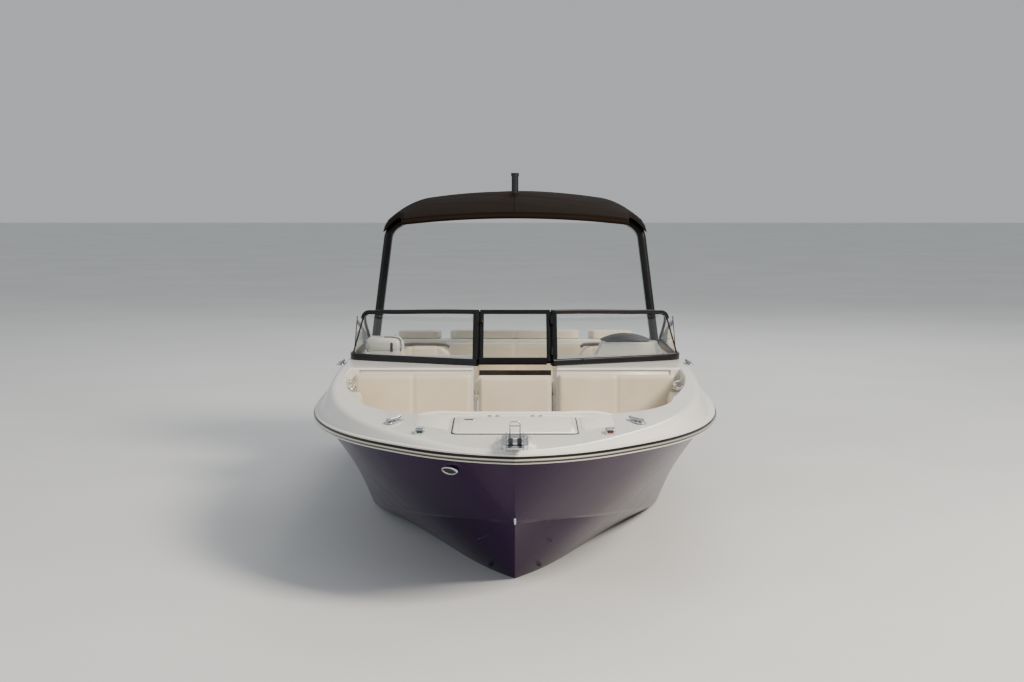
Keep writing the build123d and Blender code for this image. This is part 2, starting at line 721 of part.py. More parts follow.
def normal_of(points):
    return (points[1] - points[0]).cross(points[2] - points[0]).normalized()


def flat_outline(points):
    """The closed outline laid in the plane of its first three points."""
    normal = normal_of(points)
    level = [p - normal * (p - points[0]).dot(normal) for p in points]
    return Face(Wire.make_polygon(level)), normal


def plate(face, normal, thickness):
    """A face made a plate, half its thickness to either side."""
    return extrude(face.moved(Location(normal * (-thickness / 2))), amount=thickness, dir=normal)


def frame_ring(points, width, depth, open_side=None):
    """A mitred frame round a closed outline, its bars centred on the outline.

    open_side is the index of the outline's side that gets no bar.
    """
    face, normal = flat_outline(points)
    outer = offset(face, width / 2, kind=Kind.INTERSECTION)
    hole = list(points)
    if open_side is not None:
        first = open_side
        second = (open_side + 1) % len(points)
        before = points[first - 1]
        after = points[(second + 1) % len(points)]
        hole[first] = points[first] + (points[first] - before).normalized() * 4 * width
        hole[second] = points[second] + (points[second] - after).normalized() * 4 * width
    inner = offset(flat_outline(hole)[0], -width / 2, kind=Kind.INTERSECTION)
    return plate(outer, normal, depth) - plate(inner, normal, depth * 2)


def pane(points, thickness):
    """A glass plate on a closed outline."""
    face, normal = flat_outline(points)
    return plate(face, normal, thickness)


def shield_outlines(side):
    """Front and side outlines of one half of the windshield."""
    low_in, low_out, low_aft, top_in, top_out = [
        at(s, side * x, z) for s, x, z in
        (SHIELD_BASE_IN, SHIELD_BASE_OUT, SHIELD_BASE_AFT, SHIELD_TOP_IN, SHIELD_TOP_OUT)]
    high_aft = low_aft + Vector(0, -10, SHIELD_AFT_RISE)
    return [low_in, low_out, top_out, top_in], [low_out, low_aft, high_aft, top_out]


def make_shield_frame():
    """The fixed frame: front rings and side rings of both halves, trimmed to the deck."""
    body = None
    for side in (1, -1):
        front, flank = shield_outlines(side)
        ring = frame_ring(front, FRAME_WIDTH, FRAME_DEPTH, open_side=1)
        ring = ring + frame_ring(flank, FRAME_WIDTH, FRAME_DEPTH * 0.8, open_side=3)
        body = ring if body is None else body + ring
    skirt = shield_skirt()
    body = (body + skirt) - deck_cover()
    for hinge in gate_hinges()[0]:
        body = body + hinge
    return body


def shield_skirt():
    """The low plinth under the base rails, down to the deck."""
    body = None
    for side in (1, -1):
        front, flank = shield_outlines(side)
        for start, end in ((front[0], front[1]), (flank[0], flank[1])):
            along = (end - start).normalized()
            across = Vector(-along.Y, along.X, 0).normalized() * 9
            corners = [start + across, end + across, end - across, start - across]
            low = [Vector(p.X, p.Y, 960) for p in corners]
            foot = Face(Wire.make_polygon(low))
            top = Face(Wire.make_polygon(corners))
            piece = Solid.make_loft([foot.outer_wire(), top.outer_wire()], ruled=True)
            body = piece if body is None else body + piece
    return body


def deck_cover():
    """The deck's whole form with a seam over it, for trimming what stands on it."""
    return deck_solid().moved(Location((0, 0, SEAM)))


def make_shield_glass(frame):
    """The front panes and the side panes, which meet glass to glass at the corners."""
    panes = []
    for side in (1, -1):
        front, flank = shield_outlines(side)
        front_pane = pane(front, GLASS) - frame - deck_cover()
        side_pane = pane(flank, GLASS) - frame - deck_cover() - pane(front, GLASS + 2 * SEAM)
        panes += [front_pane, side_pane]
    return [p.solids().sort_by(SortBy.VOLUME)[-1] for p in panes]


def gate_outline():
    s1, x1, z1 = SHIELD_BASE_IN
    s2, x2, z2 = SHIELD_TOP_IN
    inset = FRAME_WIDTH + GATE_GAP
    return [at(s1, -x1 + inset, z1), at(s1, x1 - inset, z1), at(s2, x2 - inset, z2), at(s2, -x2 + inset, z2)]


def make_gate_frame():
    ring = frame_ring(gate_outline(), FRAME_WIDTH, FRAME_DEPTH * 0.8)
    for hinge in gate_hinges()[1]:
        ring = ring + hinge
    return ring


def make_gate_glass(frame):
    return (pane(gate_outline(), GLASS) - frame).solids().sort_by(SortBy.VOLUME)[-1]


# Bow door

def make_bow_door():
    x_range = (DOOR_HINGE_X + DOOR_EDGE, DOOR_HINGE_X + DOOR_EDGE + 2 * DOOR_HALF)
    low = BOW_SOLE_Z + 12
    panel = block((CONSOLE_FRONT_S + 6, CONSOLE_FRONT_S + 6 + DOOR_THICK), x_range, (low, DOOR_TOP_Z))
    panel = fillet(panel.edges().filter_by(Axis.Y), 14)
    for hinge in door_hinges()[1]:
        panel = panel + hinge
    return panel


def make_door_pad():
    low = BOW_SOLE_Z + 40
    x_range = (DOOR_HINGE_X + 14, DOOR_HINGE_X + 8 + 2 * DOOR_HALF)
    body = block((CONSOLE_FRONT_S - 16, CONSOLE_FRONT_S + 6 - SEAM), x_range, (low, DOOR_TOP_Z - 6))
    return chamfer(body.edges().filter_by(Axis.Y).group_by(Axis.Y)[0] + body.edges().group_by(Axis.Y)[0], 7)


# Lids

def make_locker_lid():
    body = column(locker_face(LID_GAP), 600, 1300)
    lid = (body & under_crown(0)) - under_crown(LID_THICK)
    return [lid] + [lid_hinge(LOCKER_BACK_S, side * LOCKER_HINGE_X)[1] for side in (1, -1)]


def make_engine_hatch():
    inset = HATCH_GAP
    body = rounded_block((HATCH_FRONT_S + inset, HATCH_BACK_S - inset),
                         (-HATCH_HALF + inset, HATCH_HALF - inset), (600, 1300), 45)
    hatch = (body & under_crown(0)) - under_crown(HATCH_THICK)
    return [hatch] + [lid_hinge(HATCH_BACK_S, side * HATCH_HINGE_X)[1] for side in (1, -1)]


def make_fixed_hinges():
    """The halves of the lids' and the door's hinges that stay on the boat."""
    halves = [lid_hinge(LOCKER_BACK_S, side * LOCKER_HINGE_X)[0] for side in (1, -1)]
    halves += [lid_hinge(HATCH_BACK_S, side * HATCH_HINGE_X)[0] for side in (1, -1)]
    return halves + door_hinges()[0]


def make_hatch_ledge():
    """The gutter frame under the hatch, which it lies on, with its hinge seat aft."""
    top_drop = DECK_WALL + SEAM
    body = rounded_block((HATCH_FRONT_S - 30, HATCH_BACK_S + 30), (-HATCH_HALF - 30, HATCH_HALF + 30),
                         (600, 1300), 60)
    body = (body & under_crown(top_drop)) - under_crown(HATCH_THICK + 30)
    hole = rounded_block((HATCH_FRONT_S + 30, HATCH_BACK_S - 30), (-HATCH_HALF + 30, HATCH_HALF - 30),
                         (600, 1300), 40)
    rebate = rounded_block((HATCH_FRONT_S, HATCH_BACK_S), (-HATCH_HALF, HATCH_HALF), (600, 1300), 50)
    rebate = rebate - under_crown(HATCH_THICK + 4)
    return body - hole - rebate


def make_sunpad():
    room = rounded_block((HATCH_FRONT_S + 10, HATCH_BACK_S - 42), (-HATCH_HALF + 8, HATCH_HALF - 8),
                         (600, 1300), 70)
    return (room & under_crown(-75)) - under_crown(-SEAM)


def make_side_pads():
    """The two fixed pads beside the sunpad."""
    pads = []
    for side in (1, -1):
        body = rounded_block((HATCH_FRONT_S + 10, HATCH_BACK_S - 30), (HATCH_HALF + 70, 985),
                             (600, 1300), 50)
        body = (body & under_crown(-70)) - under_crown(-SEAM)
        pads.append(body if side > 0 else mirror(body, about=Plane.YZ))
    return pads


# Stern bench

def make_bench_base():
    room = liner_limit(LINER_INSET + LINER_WALL + SEAM, DECK_WALL + 2 * SEAM)
    wall = 14.0
    half = BENCH_PLACES * BENCH_PLACE_WIDTH / 2 + 20
    back = COCKPIT_END_S - SEAM
    body = block((BENCH_FRONT_S + 10, back), (-half, half), (SOLE_Z + SEAM, BENCH_SEAT_Z))
    hollow = block((BENCH_FRONT_S + 10 + wall, back - wall), (-half + wall, half - wall),
                   (SOLE_Z - 10, BENCH_SEAT_Z - wall))
    return (body - hollow) & room


def bench_row(s_range, z_range):
    """One pad for each place across the stern."""
    row = []
    pitch = BENCH_PLACE_WIDTH + 4
    for i in range(BENCH_PLACES):
        x_mid = (i - (BENCH_PLACES - 1) / 2) * pitch
        half = BENCH_PLACE_WIDTH / 2
        row.append(pad(s_range, (x_mid - half, x_mid + half), z_range, 24))
    return row


def make_bench_cushions():
    low = BENCH_SEAT_Z + SEAM
    back = COCKPIT_END_S - BENCH_BACK - 6
    return bench_row((BENCH_FRONT_S, back), (low, low + BENCH_PAD))


def make_bench_backs():
    low = BENCH_SEAT_Z + SEAM
    return bench_row((COCKPIT_END_S - BENCH_BACK, COCKPIT_END_S - 2), (low, 955))


# Helm

def make_helm_hood():
    """The dark brow over the instruments."""
    sections = []
    for s, half, low, high in ((COWL_END_S + 100, 150, 1128, 1134), (COWL_END_S + 190, 175, 1126, 1163),
                               (DASH_END_S + 6, 185, 1121, 1168)):
        arc = Edge.make_three_point_arc(at(s, HELM_X + 45 + half, low + SEAM),
                                        at(s, HELM_X + 45, high),
                                        at(s, HELM_X + 45 - half, low + SEAM))
        sections.append(Wire([arc, Edge.make_line(arc @ 1, arc @ 0)]))
    return Solid.make_loft(sections, ruled=True)


def dash_plane(x, up):
    """A plane on the instrument face, a given way up it, facing the driver."""
    height = POD_TOP_Z - POD_LOW_Z
    lean = math.atan2(POD_LEAN, height)
    origin = at(DASH_END_S - up * math.sin(lean), x, POD_LOW_Z + up * math.cos(lean))
    return Plane(origin=origin, x_dir=(1, 0, 0), z_dir=(0, math.cos(lean), math.sin(lean)))


def make_gauges():
    """Two large dials and three small ones in round bezels."""
    gauges = []
    # offset from the dials' centre, way up the face, radius
    for dx, up, radius in ((-75, 96, 46), (75, 96, 46), (-112, 22, 18), (0, 22, 18), (112, 22, 18)):
        plane = dash_plane(HELM_X + 45 + dx, up)
        gauges.append(Solid.make_cylinder(radius, 12, plane.offset(SEAM)))
    return gauges


def wheel_plane():
    lean = math.radians(WHEEL_TILT)
    return Plane(origin=at(WHEEL_S, HELM_X, WHEEL_Z), x_dir=(1, 0, 0),
                 z_dir=(0, math.cos(lean), math.sin(lean)))


def make_steering_wheel():
    """Rim, three spokes and a boss about the column's axis."""
    plane = wheel_plane()
    rim = Solid.make_torus(WHEEL_R, 15, plane)
    boss = Solid.make_cylinder(42, BOSS_BACK + 16, plane.offset(-BOSS_BACK))
    body = rim + boss
    for angle in (90, 210, 330):
        spoke = Solid.make_box(WHEEL_R - 20, 26, 8, Plane(origin=(14, -13, -4)))
        spoke = spoke.rotate(Axis.Z, angle)
        body = body + plane.location * spoke
    return body


def make_steering_column(console):
    """The tilt column between the dash and the wheel's boss."""
    reach = (WHEEL_S - DASH_END_S) + 60
    shaft = Solid.make_cylinder(24, reach - BOSS_BACK - SEAM, wheel_plane().offset(-reach))
    return (shaft - console).solids().sort_by(Axis.Y)[-1]


def make_throttle():
    """The control box on the side of the cockpit with its lever."""
    x = COCKPIT_HALF - 36
    box = chamfer(block((3880, 4060), (x - 28, COCKPIT_HALF - SEAM), (800, 930)).edges(), 8)
    lever = bar(at(3960, x - 34, 880), at(3935, x - 34, 1010), 14, 26, Vector(0, 1, 0))
    knob = chamfer(Solid.make_cylinder(19, 60, Plane(at(3902, x - 34, 1020), z_dir=(0, 1, 0))).edges(), 5)
    hub = Solid.make_cylinder(22, 30, Plane(origin=at(3960, x - 48, 880), z_dir=(1, 0, 0)))
    return box + lever + knob + hub


# Seats

def make_seat(side):
    """A bucket seat: base cushion, back and two side bolsters in one closed form."""
    x = side * SEAT_X
    base = pad((SEAT_S - 235, SEAT_S + 225), (x - 225, x + 225), (SEAT_Z, SEAT_Z + 120), 30)
    back = block((SEAT_S + 130, SEAT_S + 235), (x - 215, x + 215), (SEAT_Z + 60, 1010))
    back = fillet(back.edges().filter_by(Axis.Y).group_by(Axis.Z)[-1], 120)
    back = back + pad((SEAT_S - 40, SEAT_S + 200), (x - 225, x - 165), (SEAT_Z + 80, SEAT_Z + 230), 22)
    back = back + pad((SEAT_S - 40, SEAT_S + 200), (x + 165, x + 225), (SEAT_Z + 80, SEAT_Z + 230), 22)
    return base + back


def make_pedestals():
    """Flange, column and turning plate under each seat."""
    stands = []
    for side in (1, -1):
        x = side * SEAT_X
        foot = Solid.make_cylinder(150, 12, Plane(at(SEAT_S, x, SOLE_Z + SEAM)))
        post = Solid.make_cylinder(45, SEAT_Z - SOLE_Z - 2 * SEAM, Plane(at(SEAT_S, x, SOLE_Z + SEAM)))
        plate = Solid.make_cylinder(110, 10, Plane(at(SEAT_S, x, SEAT_Z - 10 - SEAM)))
        stands.append(foot + post + plate)
    return stands


# Arch

def arch_points(side):
    foot = at(ARCH_FOOT_S, side * ARCH_FOOT_X, crown_z(ARCH_FOOT_S) + ARCH_PLATE + SEAM)
    knee = at(ARCH_KNEE[0], side * ARCH_KNEE[1], ARCH_KNEE[2])
    top = at(ARCH_TOP[0], side * ARCH_TOP[1], ARCH_TOP[2])
    return foot, knee, top


def make_arch():
    """Two legs and a hoop of flattened tube in one run."""
    foot, knee, top = arch_points(1)
    foot2, knee2, top2 = arch_points(-1)
    sunk = Vector(0, 0, 30)
    path = FilletPolyline(foot - sunk, knee, top, top2, knee2, foot2 - sunk, radius=[150, 130, 130, 150])
    across, along = ARCH_SECTION
    plane = Plane(origin=path @ 0, x_dir=(0, 1, 0), z_dir=path % 0)
    section = fillet(Face.make_rect(along, across, plane).vertices(), across * 0.4)
    hoop = sweep(section, path=path)
    return hoop - block((ARCH_FOOT_S - 300, ARCH_FOOT_S + 300), (-1500, 1500), (foot.Z - 300, foot.Z))


def make_arch_feet():
    """A plate and a socket under each leg, seated on the deck."""
    feet = []
    for side in (1, -1):
        foot, knee, _ = arch_points(side)
        base = block((ARCH_FOOT_S - 80, ARCH_FOOT_S + 85), (foot.X - 40, foot.X + 40), (900, foot.Z - SEAM))
        base = fillet(base.edges().filter_by(Axis.Z), 24) - deck_cover()
        feet.append(base.solids().sort_by(SortBy.VOLUME)[-1])
    return feet


def canopy_value(s, column):
    """A column of the canopy's table at any station, along a parabola."""
    total = 0.0
    for i, row in enumerate(CANOPY):
        share = 1.0
        for k, other in enumerate(CANOPY):
            if k != i:
                share *= (s - other[0]) / (row[0] - other[0])
        total += row[column] * share
    return total


def canopy_z(s, x):
    """Height of the canvas top: cambered across and along."""
    middle = canopy_value(s, 2)
    edge = canopy_value(s, 3)
    return middle - (middle - edge) * (x / canopy_value(s, 1)) ** 2


def make_canopy():
    """The canvas top as a closed slab, highest over the arch and lower at its front."""
    sections = []
    count = 7
    for i in range(count):
        s = CANOPY[0][0] + (CANOPY[-1][0] - CANOPY[0][0]) * i / (count - 1)
        half = canopy_value(s, 1)
        top = [at(s, x, canopy_z(s, x)) for x in (-half, 0, half)]
        low = [p - Vector(0, 0, CANOPY_THICK) for p in top]
        upper = Edge.make_three_point_arc(*top)
        lower = Edge.make_three_point_arc(*low[::-1])
        sections.append(Wire([upper, Edge.make_line(top[2], low[2]), lower, Edge.make_line(low[0], top[0])]))
    return Solid.make_loft(sections)


def make_canopy_bows(arch):
    """The end tubes of the top, the two ridge tubes and the posts that stand on the arch."""
    frame = None
    low = CANOPY_THICK + BOW_TUBE_R * 1.08 + SEAM  # the canvas slopes over the tubes
    first = CANOPY[0][0] + BOW_INSET
    last = CANOPY[-1][0] - BOW_INSET
    for s in (first, last):
        half = canopy_value(s, 1) - BOW_INSET
        ends = [at(s, x, canopy_z(s, x) - low) for x in (-half, 0, half)]
        arc = Edge.make_three_point_arc(*ends)
        plane = Plane(origin=arc @ 0, z_dir=arc % 0)
        tube = sweep(Face(Wire.make_circle(BOW_TUBE_R, plane)), path=arc)
        frame = tube if frame is None else frame + tube
    for side in (1, -1):
        x = side * RIDGE_X
        s_arch = ARCH_TOP[0]
        ends = [at(s, x, canopy_z(s, x) - low - RIDGE_DROP) for s in (first, s_arch, last)]
        arc = Edge.make_three_point_arc(*ends)
        plane = Plane(origin=arc @ 0, z_dir=arc % 0)
        frame = frame + sweep(Face(Wire.make_circle(BOW_TUBE_R, plane)), path=arc)
        post = block((s_arch - 22, s_arch + 22), (x - BOW_TUBE_R, x + BOW_TUBE_R),
                     (ARCH_TOP[2] + ARCH_SECTION[0] / 4, ends[1].Z))
        frame = frame + (post - arch - arch.moved(Location((0, 0, SEAM))))
    return frame


def make_mast(canopy):
    """The round light mast on the top."""
    z = canopy_z(MAST_S, 0)
    mast = Solid.make_cylinder(MAST_R, MAST_HEIGHT, Plane(at(MAST_S, 0, z - CANOPY_THICK / 2)))
    lens = Solid.make_cylinder(MAST_R + 4, LENS_HEIGHT, Plane(at(MAST_S, 0, z + MAST_HEIGHT - LENS_HEIGHT)))
    return (mast + lens) - canopy - canopy.moved(Location((0, 0, SEAM)))


# Deck fittings

def make_roller():
    """The bow roller: raised pad, channel with two cheeks and the roller between them."""
    top = crown_z(200)
    pad_body = rounded_block((60, 440), (-70, 70), (880, top + 14), 30) - deck_cover()
    pad_body = pad_body.solids().sort_by(SortBy.VOLUME)[-1]
    channel = block((-60, 400), (-45, 45), (top + 14, top + 20))
    cheek = [(-70, top + 14), (-50, top + 70), (120, top + 74), (400, top + 22), (400, top + 14)]
    channel = channel + plan_prism(cheek, (-47, -41)) + plan_prism(cheek, (41, 47))
    roller = Solid.make_cylinder(20, 80, Plane(origin=at(-25, -40, top + 44), z_dir=(1, 0, 0)))
    axle = Solid.make_cylinder(6, 94, Plane(origin=at(-25, -47, top + 44), z_dir=(1, 0, 0)))
    return pad_body + (channel - deck_cover()) + roller + axle


def make_cleats():
    """Horn cleats: two forward, two amidships and two aft."""
    cleats = []
    # station, half breadth
    for s, x in ((800, 665), (2900, 1165), (6480, 1060)):
        for side in (1, -1):
            z = crown_z(s) + SEAM
            foot = block((s - 35, s + 35), (side * x - 11, side * x + 11), (z - 16, z + 26))
            horn = block((s - 75, s + 75), (side * x - 9, side * x + 9), (z + 22, z + 36))
            cleats.append((foot + fillet(horn.edges().filter_by(Axis.Z), 8)) - deck_cover())
    return cleats


def make_nav_lights():
    lights = []
    for side in (1, -1):
        z = crown_z(490) + SEAM
        body = block((450, 530), (side * 505 - 22, side * 505 + 22), (z - 6, z + 26))
        body = fillet(body.edges().group_by(Axis.Z)[-1], 8) - deck_cover()
        lights.append(body.solids().sort_by(SortBy.VOLUME)[-1])
    return lights


def make_eyes():
    """The towing eye on the stem and two stern eyes on the transom."""
    z = 455.0
    s = stem_s(z)
    ring = Solid.make_cylinder(24, 16, Plane(origin=at(s - 34, -8, z - 6), z_dir=(1, 0, 0)))
    ring = ring - Solid.make_cylinder(12, 30, Plane(origin=at(s - 34, -15, z - 6), z_dir=(1, 0, 0)))
    shank = block((s - 16, s + 40), (-8, 8), (z - 22, z + 12)) - hull_solid()
    shank = shank.solids().sort_by(Axis.Y)[0]
    eyes = [ring + shank]
    for side in (1, -1):
        z2 = 560.0
        s2 = transom_s(z2)
        eye = Solid.make_cylinder(24, 14, Plane(origin=at(s2 + 30, side * 930 - 7, z2), z_dir=(1, 0, 0)))
        eye = eye - Solid.make_cylinder(12, 30, Plane(origin=at(s2 + 30, side * 930 - 15, z2), z_dir=(1, 0, 0)))
        stub = block((s2 - 30, s2 + 14), (side * 930 - 7, side * 930 + 7), (z2 - 14, z2 + 14)) - hull_solid()
        stub = stub.solids().sort_by(Axis.Y)[-1]
        eyes.append(eye + stub)
    return eyes


def make_hull_vent():
    """The oval bright fitting on the starboard bow."""
    plane = Plane(origin=at(360, -350, 752), x_dir=(-0.62, 0.78, 0), z_dir=(-0.6, -0.48, -0.64))
    oval = Face(Wire.make_ellipse(63, 27, plane))
    body = extrude(oval.moved(Location(plane.z_dir * -40)), amount=54, dir=plane.z_dir)
    return (body - hull_solid()).solids().sort_by(Axis.Y)[0]


def make_rails():
    """Low stainless grab rails on the aft quarters."""
    rails = []
    for side in (1, -1):
        points = []
        for s, up in ((4950, -4), (4970, 60), (5330, 60), (5350, -4)):
            points.append(at(s, side * 1110, crown_z(s) + up))
        path = FilletPolyline(*points, radius=18)
        plane = Plane(origin=path @ 0, z_dir=path % 0)
        rails.append(sweep(Face(Wire.make_circle(11, plane)), path=path) - deck_cover())
    return rails


# Stern

def make_platform():
    body = rounded_block((6300, PLATFORM_END_S), (-PLATFORM_HALF, PLATFORM_HALF),
                         (PLATFORM_Z, PLATFORM_Z + PLATFORM_THICK), 160)
    body = fillet(body.edges().group_by(Axis.Z)[-1], 14)
    return (body - hull_solid()).solids().sort_by(Axis.Y)[-1]


def make_engine():
    """The engine as one plain block at its place over the keel."""
    return block(ENGINE_S, (-ENGINE_HALF, ENGINE_HALF), ENGINE_Z)


def make_engine_beds():
    """The two bearers that the engine stands on, from the bottom panels up."""
    beds = []
    room = hull_solid(HULL_WALL + SEAM)
    for side in (1, -1):
        x_range = sorted((side * (ENGINE_HALF - 45), side * (ENGINE_HALF - 115)))
        bed = block((ENGINE_S[0] - 90, ENGINE_S[1]), x_range, (-500, ENGINE_Z[0] - SEAM))
        beds.append((bed & room).solids().sort_by(SortBy.VOLUME)[-1])
    return beds


def make_housing():
    """The transom plate with the two lugs that hold the steering pins."""
    body = block((6300, HOUSING_BACK_S), (-150, 150), (PIVOT_Z - 215, PIVOT_Z + 235))
    body = fillet(body.edges().filter_by(Axis.Y), 40) - hull_solid()
    body = body.solids().sort_by(Axis.Y)[-1]
    inner = RING_HALF_Z + 6
    for side in (1, -1):
        z_range = (PIVOT_Z + side * inner, PIVOT_Z + side * (inner + 32))
        lug = block((HOUSING_BACK_S - 10, PIVOT_S + 28), (-45, 45), (min(z_range), max(z_range)))
        lug = fillet(lug.edges().filter_by(Axis.Z).group_by(Axis.Y)[-1], 27)
        hole = Solid.make_cylinder(PIN_R + PIN_CLEARANCE, 60, Plane(at(PIVOT_S, 0, min(z_range) - 10)))
        body = body + (lug - hole)
    return body


def make_bellows():
    """The ribbed rubber boot between the transom plate and the drive."""
    outer = 50.0
    inner = 40.0
    profile = [(0, 0), (0, outer + 2)]
    ribs = 3
    length = 66.0
    for i in range(ribs):
        profile += [(length * (i + 0.5) / ribs, inner), (length * (i + 1) / ribs, outer)]
    profile += [(length, 0)]
    face = Face(Wire.make_polygon([at(HOUSING_BACK_S + SEAM + a, r, PIVOT_Z) for a, r in profile]))
    return revolve(face, Axis(at(0, 0, PIVOT_Z), (0, 1, 0)))


def make_gimbal_ring():
    """The ring that turns in the transom plate's lugs and carries the drive's tilt pins."""
    half = RING_DEPTH / 2
    ring = block((PIVOT_S - half, PIVOT_S + half), (-RING_HALF_X, RING_HALF_X),
                 (PIVOT_Z - RING_HALF_Z, PIVOT_Z + RING_HALF_Z))
    ring = fillet(ring.edges().filter_by(Axis.Y), 34)
    opening = block((PIVOT_S - 60, PIVOT_S + 60), (-RING_OPEN_X, RING_OPEN_X),
                    (PIVOT_Z - RING_OPEN_Z, PIVOT_Z + RING_OPEN_Z))
    ring = ring - fillet(opening.edges().filter_by(Axis.Y), 24)
    reach = RING_HALF_Z + 6 + 34
    for side in (1, -1):
        start = PIVOT_Z + side * (RING_HALF_Z - 10)
        ring = ring + Solid.make_cylinder(PIN_R, reach - RING_HALF_Z + 10,
                                          Plane(at(PIVOT_S, 0, start), z_dir=(0, 0, side)))
        ring = ring + Solid.make_cylinder(12, 40, Plane(at(PIVOT_S, side * 82, PIVOT_Z), z_dir=(side, 0, 0)))
        eye = at(PIVOT_S + TRIM_RING_EYE[0], side * (RING_HALF_X - 10), PIVOT_Z + TRIM_RING_EYE[1])
        ring = ring + Solid.make_cylinder(EYE_PIN_R, TRIM_X + 22 - RING_HALF_X, Plane(eye, z_dir=(side, 0, 0)))
    return ring


def foil(s_front, s_back, half, z):
    """A leaf-shaped section of the leg, two arcs from nose to tail."""
    nose = at(PIVOT_S + s_front, 0, z)
    tail = at(PIVOT_S + s_back, 0, z)
    middle = PIVOT_S + s_front + (s_back - s_front) * 0.45
    port = Edge.make_three_point_arc(nose, at(middle, half, z), tail)
    starboard = Edge.make_three_point_arc(tail, at(middle, -half, z), nose)
    return Wire([port, starboard])


def make_drive():
    """The drive leg: upper case with tilt arms, leg, plate, torpedo and skeg."""
    upper = block((PIVOT_S + 75, PIVOT_S + 255), (-80, 80), (PIVOT_Z - 130, PIVOT_Z + 78))
    upper = fillet(upper.edges().filter_by(Axis.Z), 40)
    upper = fillet(upper.edges().group_by(Axis.Z)[-1], 22)
    # the case slopes back at the top so that it clears the ring when it is tilted up
    slope = plan_prism([(PIVOT_S + 70, PIVOT_Z + 15), (PIVOT_S + 145, PIVOT_Z + 82),
                        (PIVOT_S + 145, PIVOT_Z + 120), (PIVOT_S + 40, PIVOT_Z + 120),
                        (PIVOT_S + 40, PIVOT_Z + 15)], (-200, 200))
    body = upper - slope
    for side in (1, -1):
        x_range = sorted((side * 82, side * 103))
        arm = block((PIVOT_S - 26, PIVOT_S + 150), x_range, (PIVOT_Z - 34, PIVOT_Z + 34))
        arm = fillet(arm.edges().filter_by(Axis.X).group_by(Axis.Y)[0], 26)
        rear = block((PIVOT_S + 100, PIVOT_S + 150), sorted((side * 60, side * 103)), (PIVOT_Z - 34, PIVOT_Z + 34))
        hole = Solid.make_cylinder(12 + PIN_CLEARANCE, 60,
                                   Plane(at(PIVOT_S, side * 60, PIVOT_Z), z_dir=(side, 0, 0)))
        body = body + ((arm + rear) - hole)
        pin = at(PIVOT_S + TRIM_LEG_EYE[0], side * 60, PIVOT_Z + TRIM_LEG_EYE[1])
        body = body + Solid.make_cylinder(EYE_PIN_R, TRIM_X + 20 - 60, Plane(pin, z_dir=(side, 0, 0)))
    leg = Solid.make_loft([foil(80, 262, 74, PIVOT_Z - 128), foil(105, 330, 50, PIVOT_Z - 270),
                           foil(120, 335, 38, PIVOT_Z - PLATE_DROP)])
    lower = Solid.make_loft([foil(125, 330, 36, PIVOT_Z - PLATE_DROP + 1), foil(135, 325, 34, PIVOT_Z - SHAFT_DROP)])
    plate = block((PIVOT_S + 105, PIVOT_S + 470), (-105, 105), (PIVOT_Z - PLATE_DROP - 5, PIVOT_Z - PLATE_DROP + 5))
    plate = fillet(plate.edges().filter_by(Axis.Z).group_by(Axis.Y)[0], 95)
    plate = fillet(plate.edges().filter_by(Axis.Z).group_by(Axis.Y)[-1], 40)
    body = body + leg + lower + plate + make_torpedo() + make_skeg()
    start = at(PIVOT_S + HUB_START - 20, 0, PIVOT_Z - SHAFT_DROP)
    shaft = Solid.make_cylinder(SHAFT_R, HUB_LENGTH + 20 + SHAFT_PROUD, Plane(start, z_dir=(0, 1, 0)))
    return body + shaft


def make_torpedo():
    """The lower gear case, a body of revolution about the propeller shaft."""
    z = PIVOT_Z - SHAFT_DROP
    nose = at(PIVOT_S + 60, 0, z)
    shoulder = at(PIVOT_S + 170, TORPEDO_R, z)
    rear = at(PIVOT_S + HUB_START - 6, HUB_R, z)
    bend = Edge.make_three_point_arc(nose, at(PIVOT_S + 95, TORPEDO_R * 0.72, z), shoulder)
    centre = at(PIVOT_S + HUB_START - 6, 0, z)
    face = Face(Wire([bend, Edge.make_line(shoulder, rear), Edge.make_line(rear, centre),
                      Edge.make_line(centre, nose)]))
    return revolve(face, Axis(at(0, 0, z), (0, 1, 0)))


def make_skeg():
    """The fin under the torpedo."""
    top = PIVOT_Z - SHAFT_DROP - 30
    low = PIVOT_Z - SHAFT_DROP - 165
    side = [(PIVOT_S + 130, top), (PIVOT_S + 305, top), (PIVOT_S + 325, low), (PIVOT_S + 245, low)]
    return plan_prism(side, (-6, 6))


def blade_section(radius, chord, thickness, rake):
    """A lens section across the blade, turned to the pitch angle at its radius."""
    angle = math.atan2(PROP_PITCH, 2 * math.pi * radius)
    along = Vector(math.cos(angle), math.sin(angle), 0)
    normal = Vector(-math.sin(angle), math.cos(angle), 0)
    centre = Vector(0, rake, radius)
    front = centre - along * (chord / 2)
    back = centre + along * (chord / 2)
    return Wire([Edge.make_three_point_arc(front, centre + normal * thickness / 2, back),
                 Edge.make_three_point_arc(back, centre - normal * thickness / 2, front)])


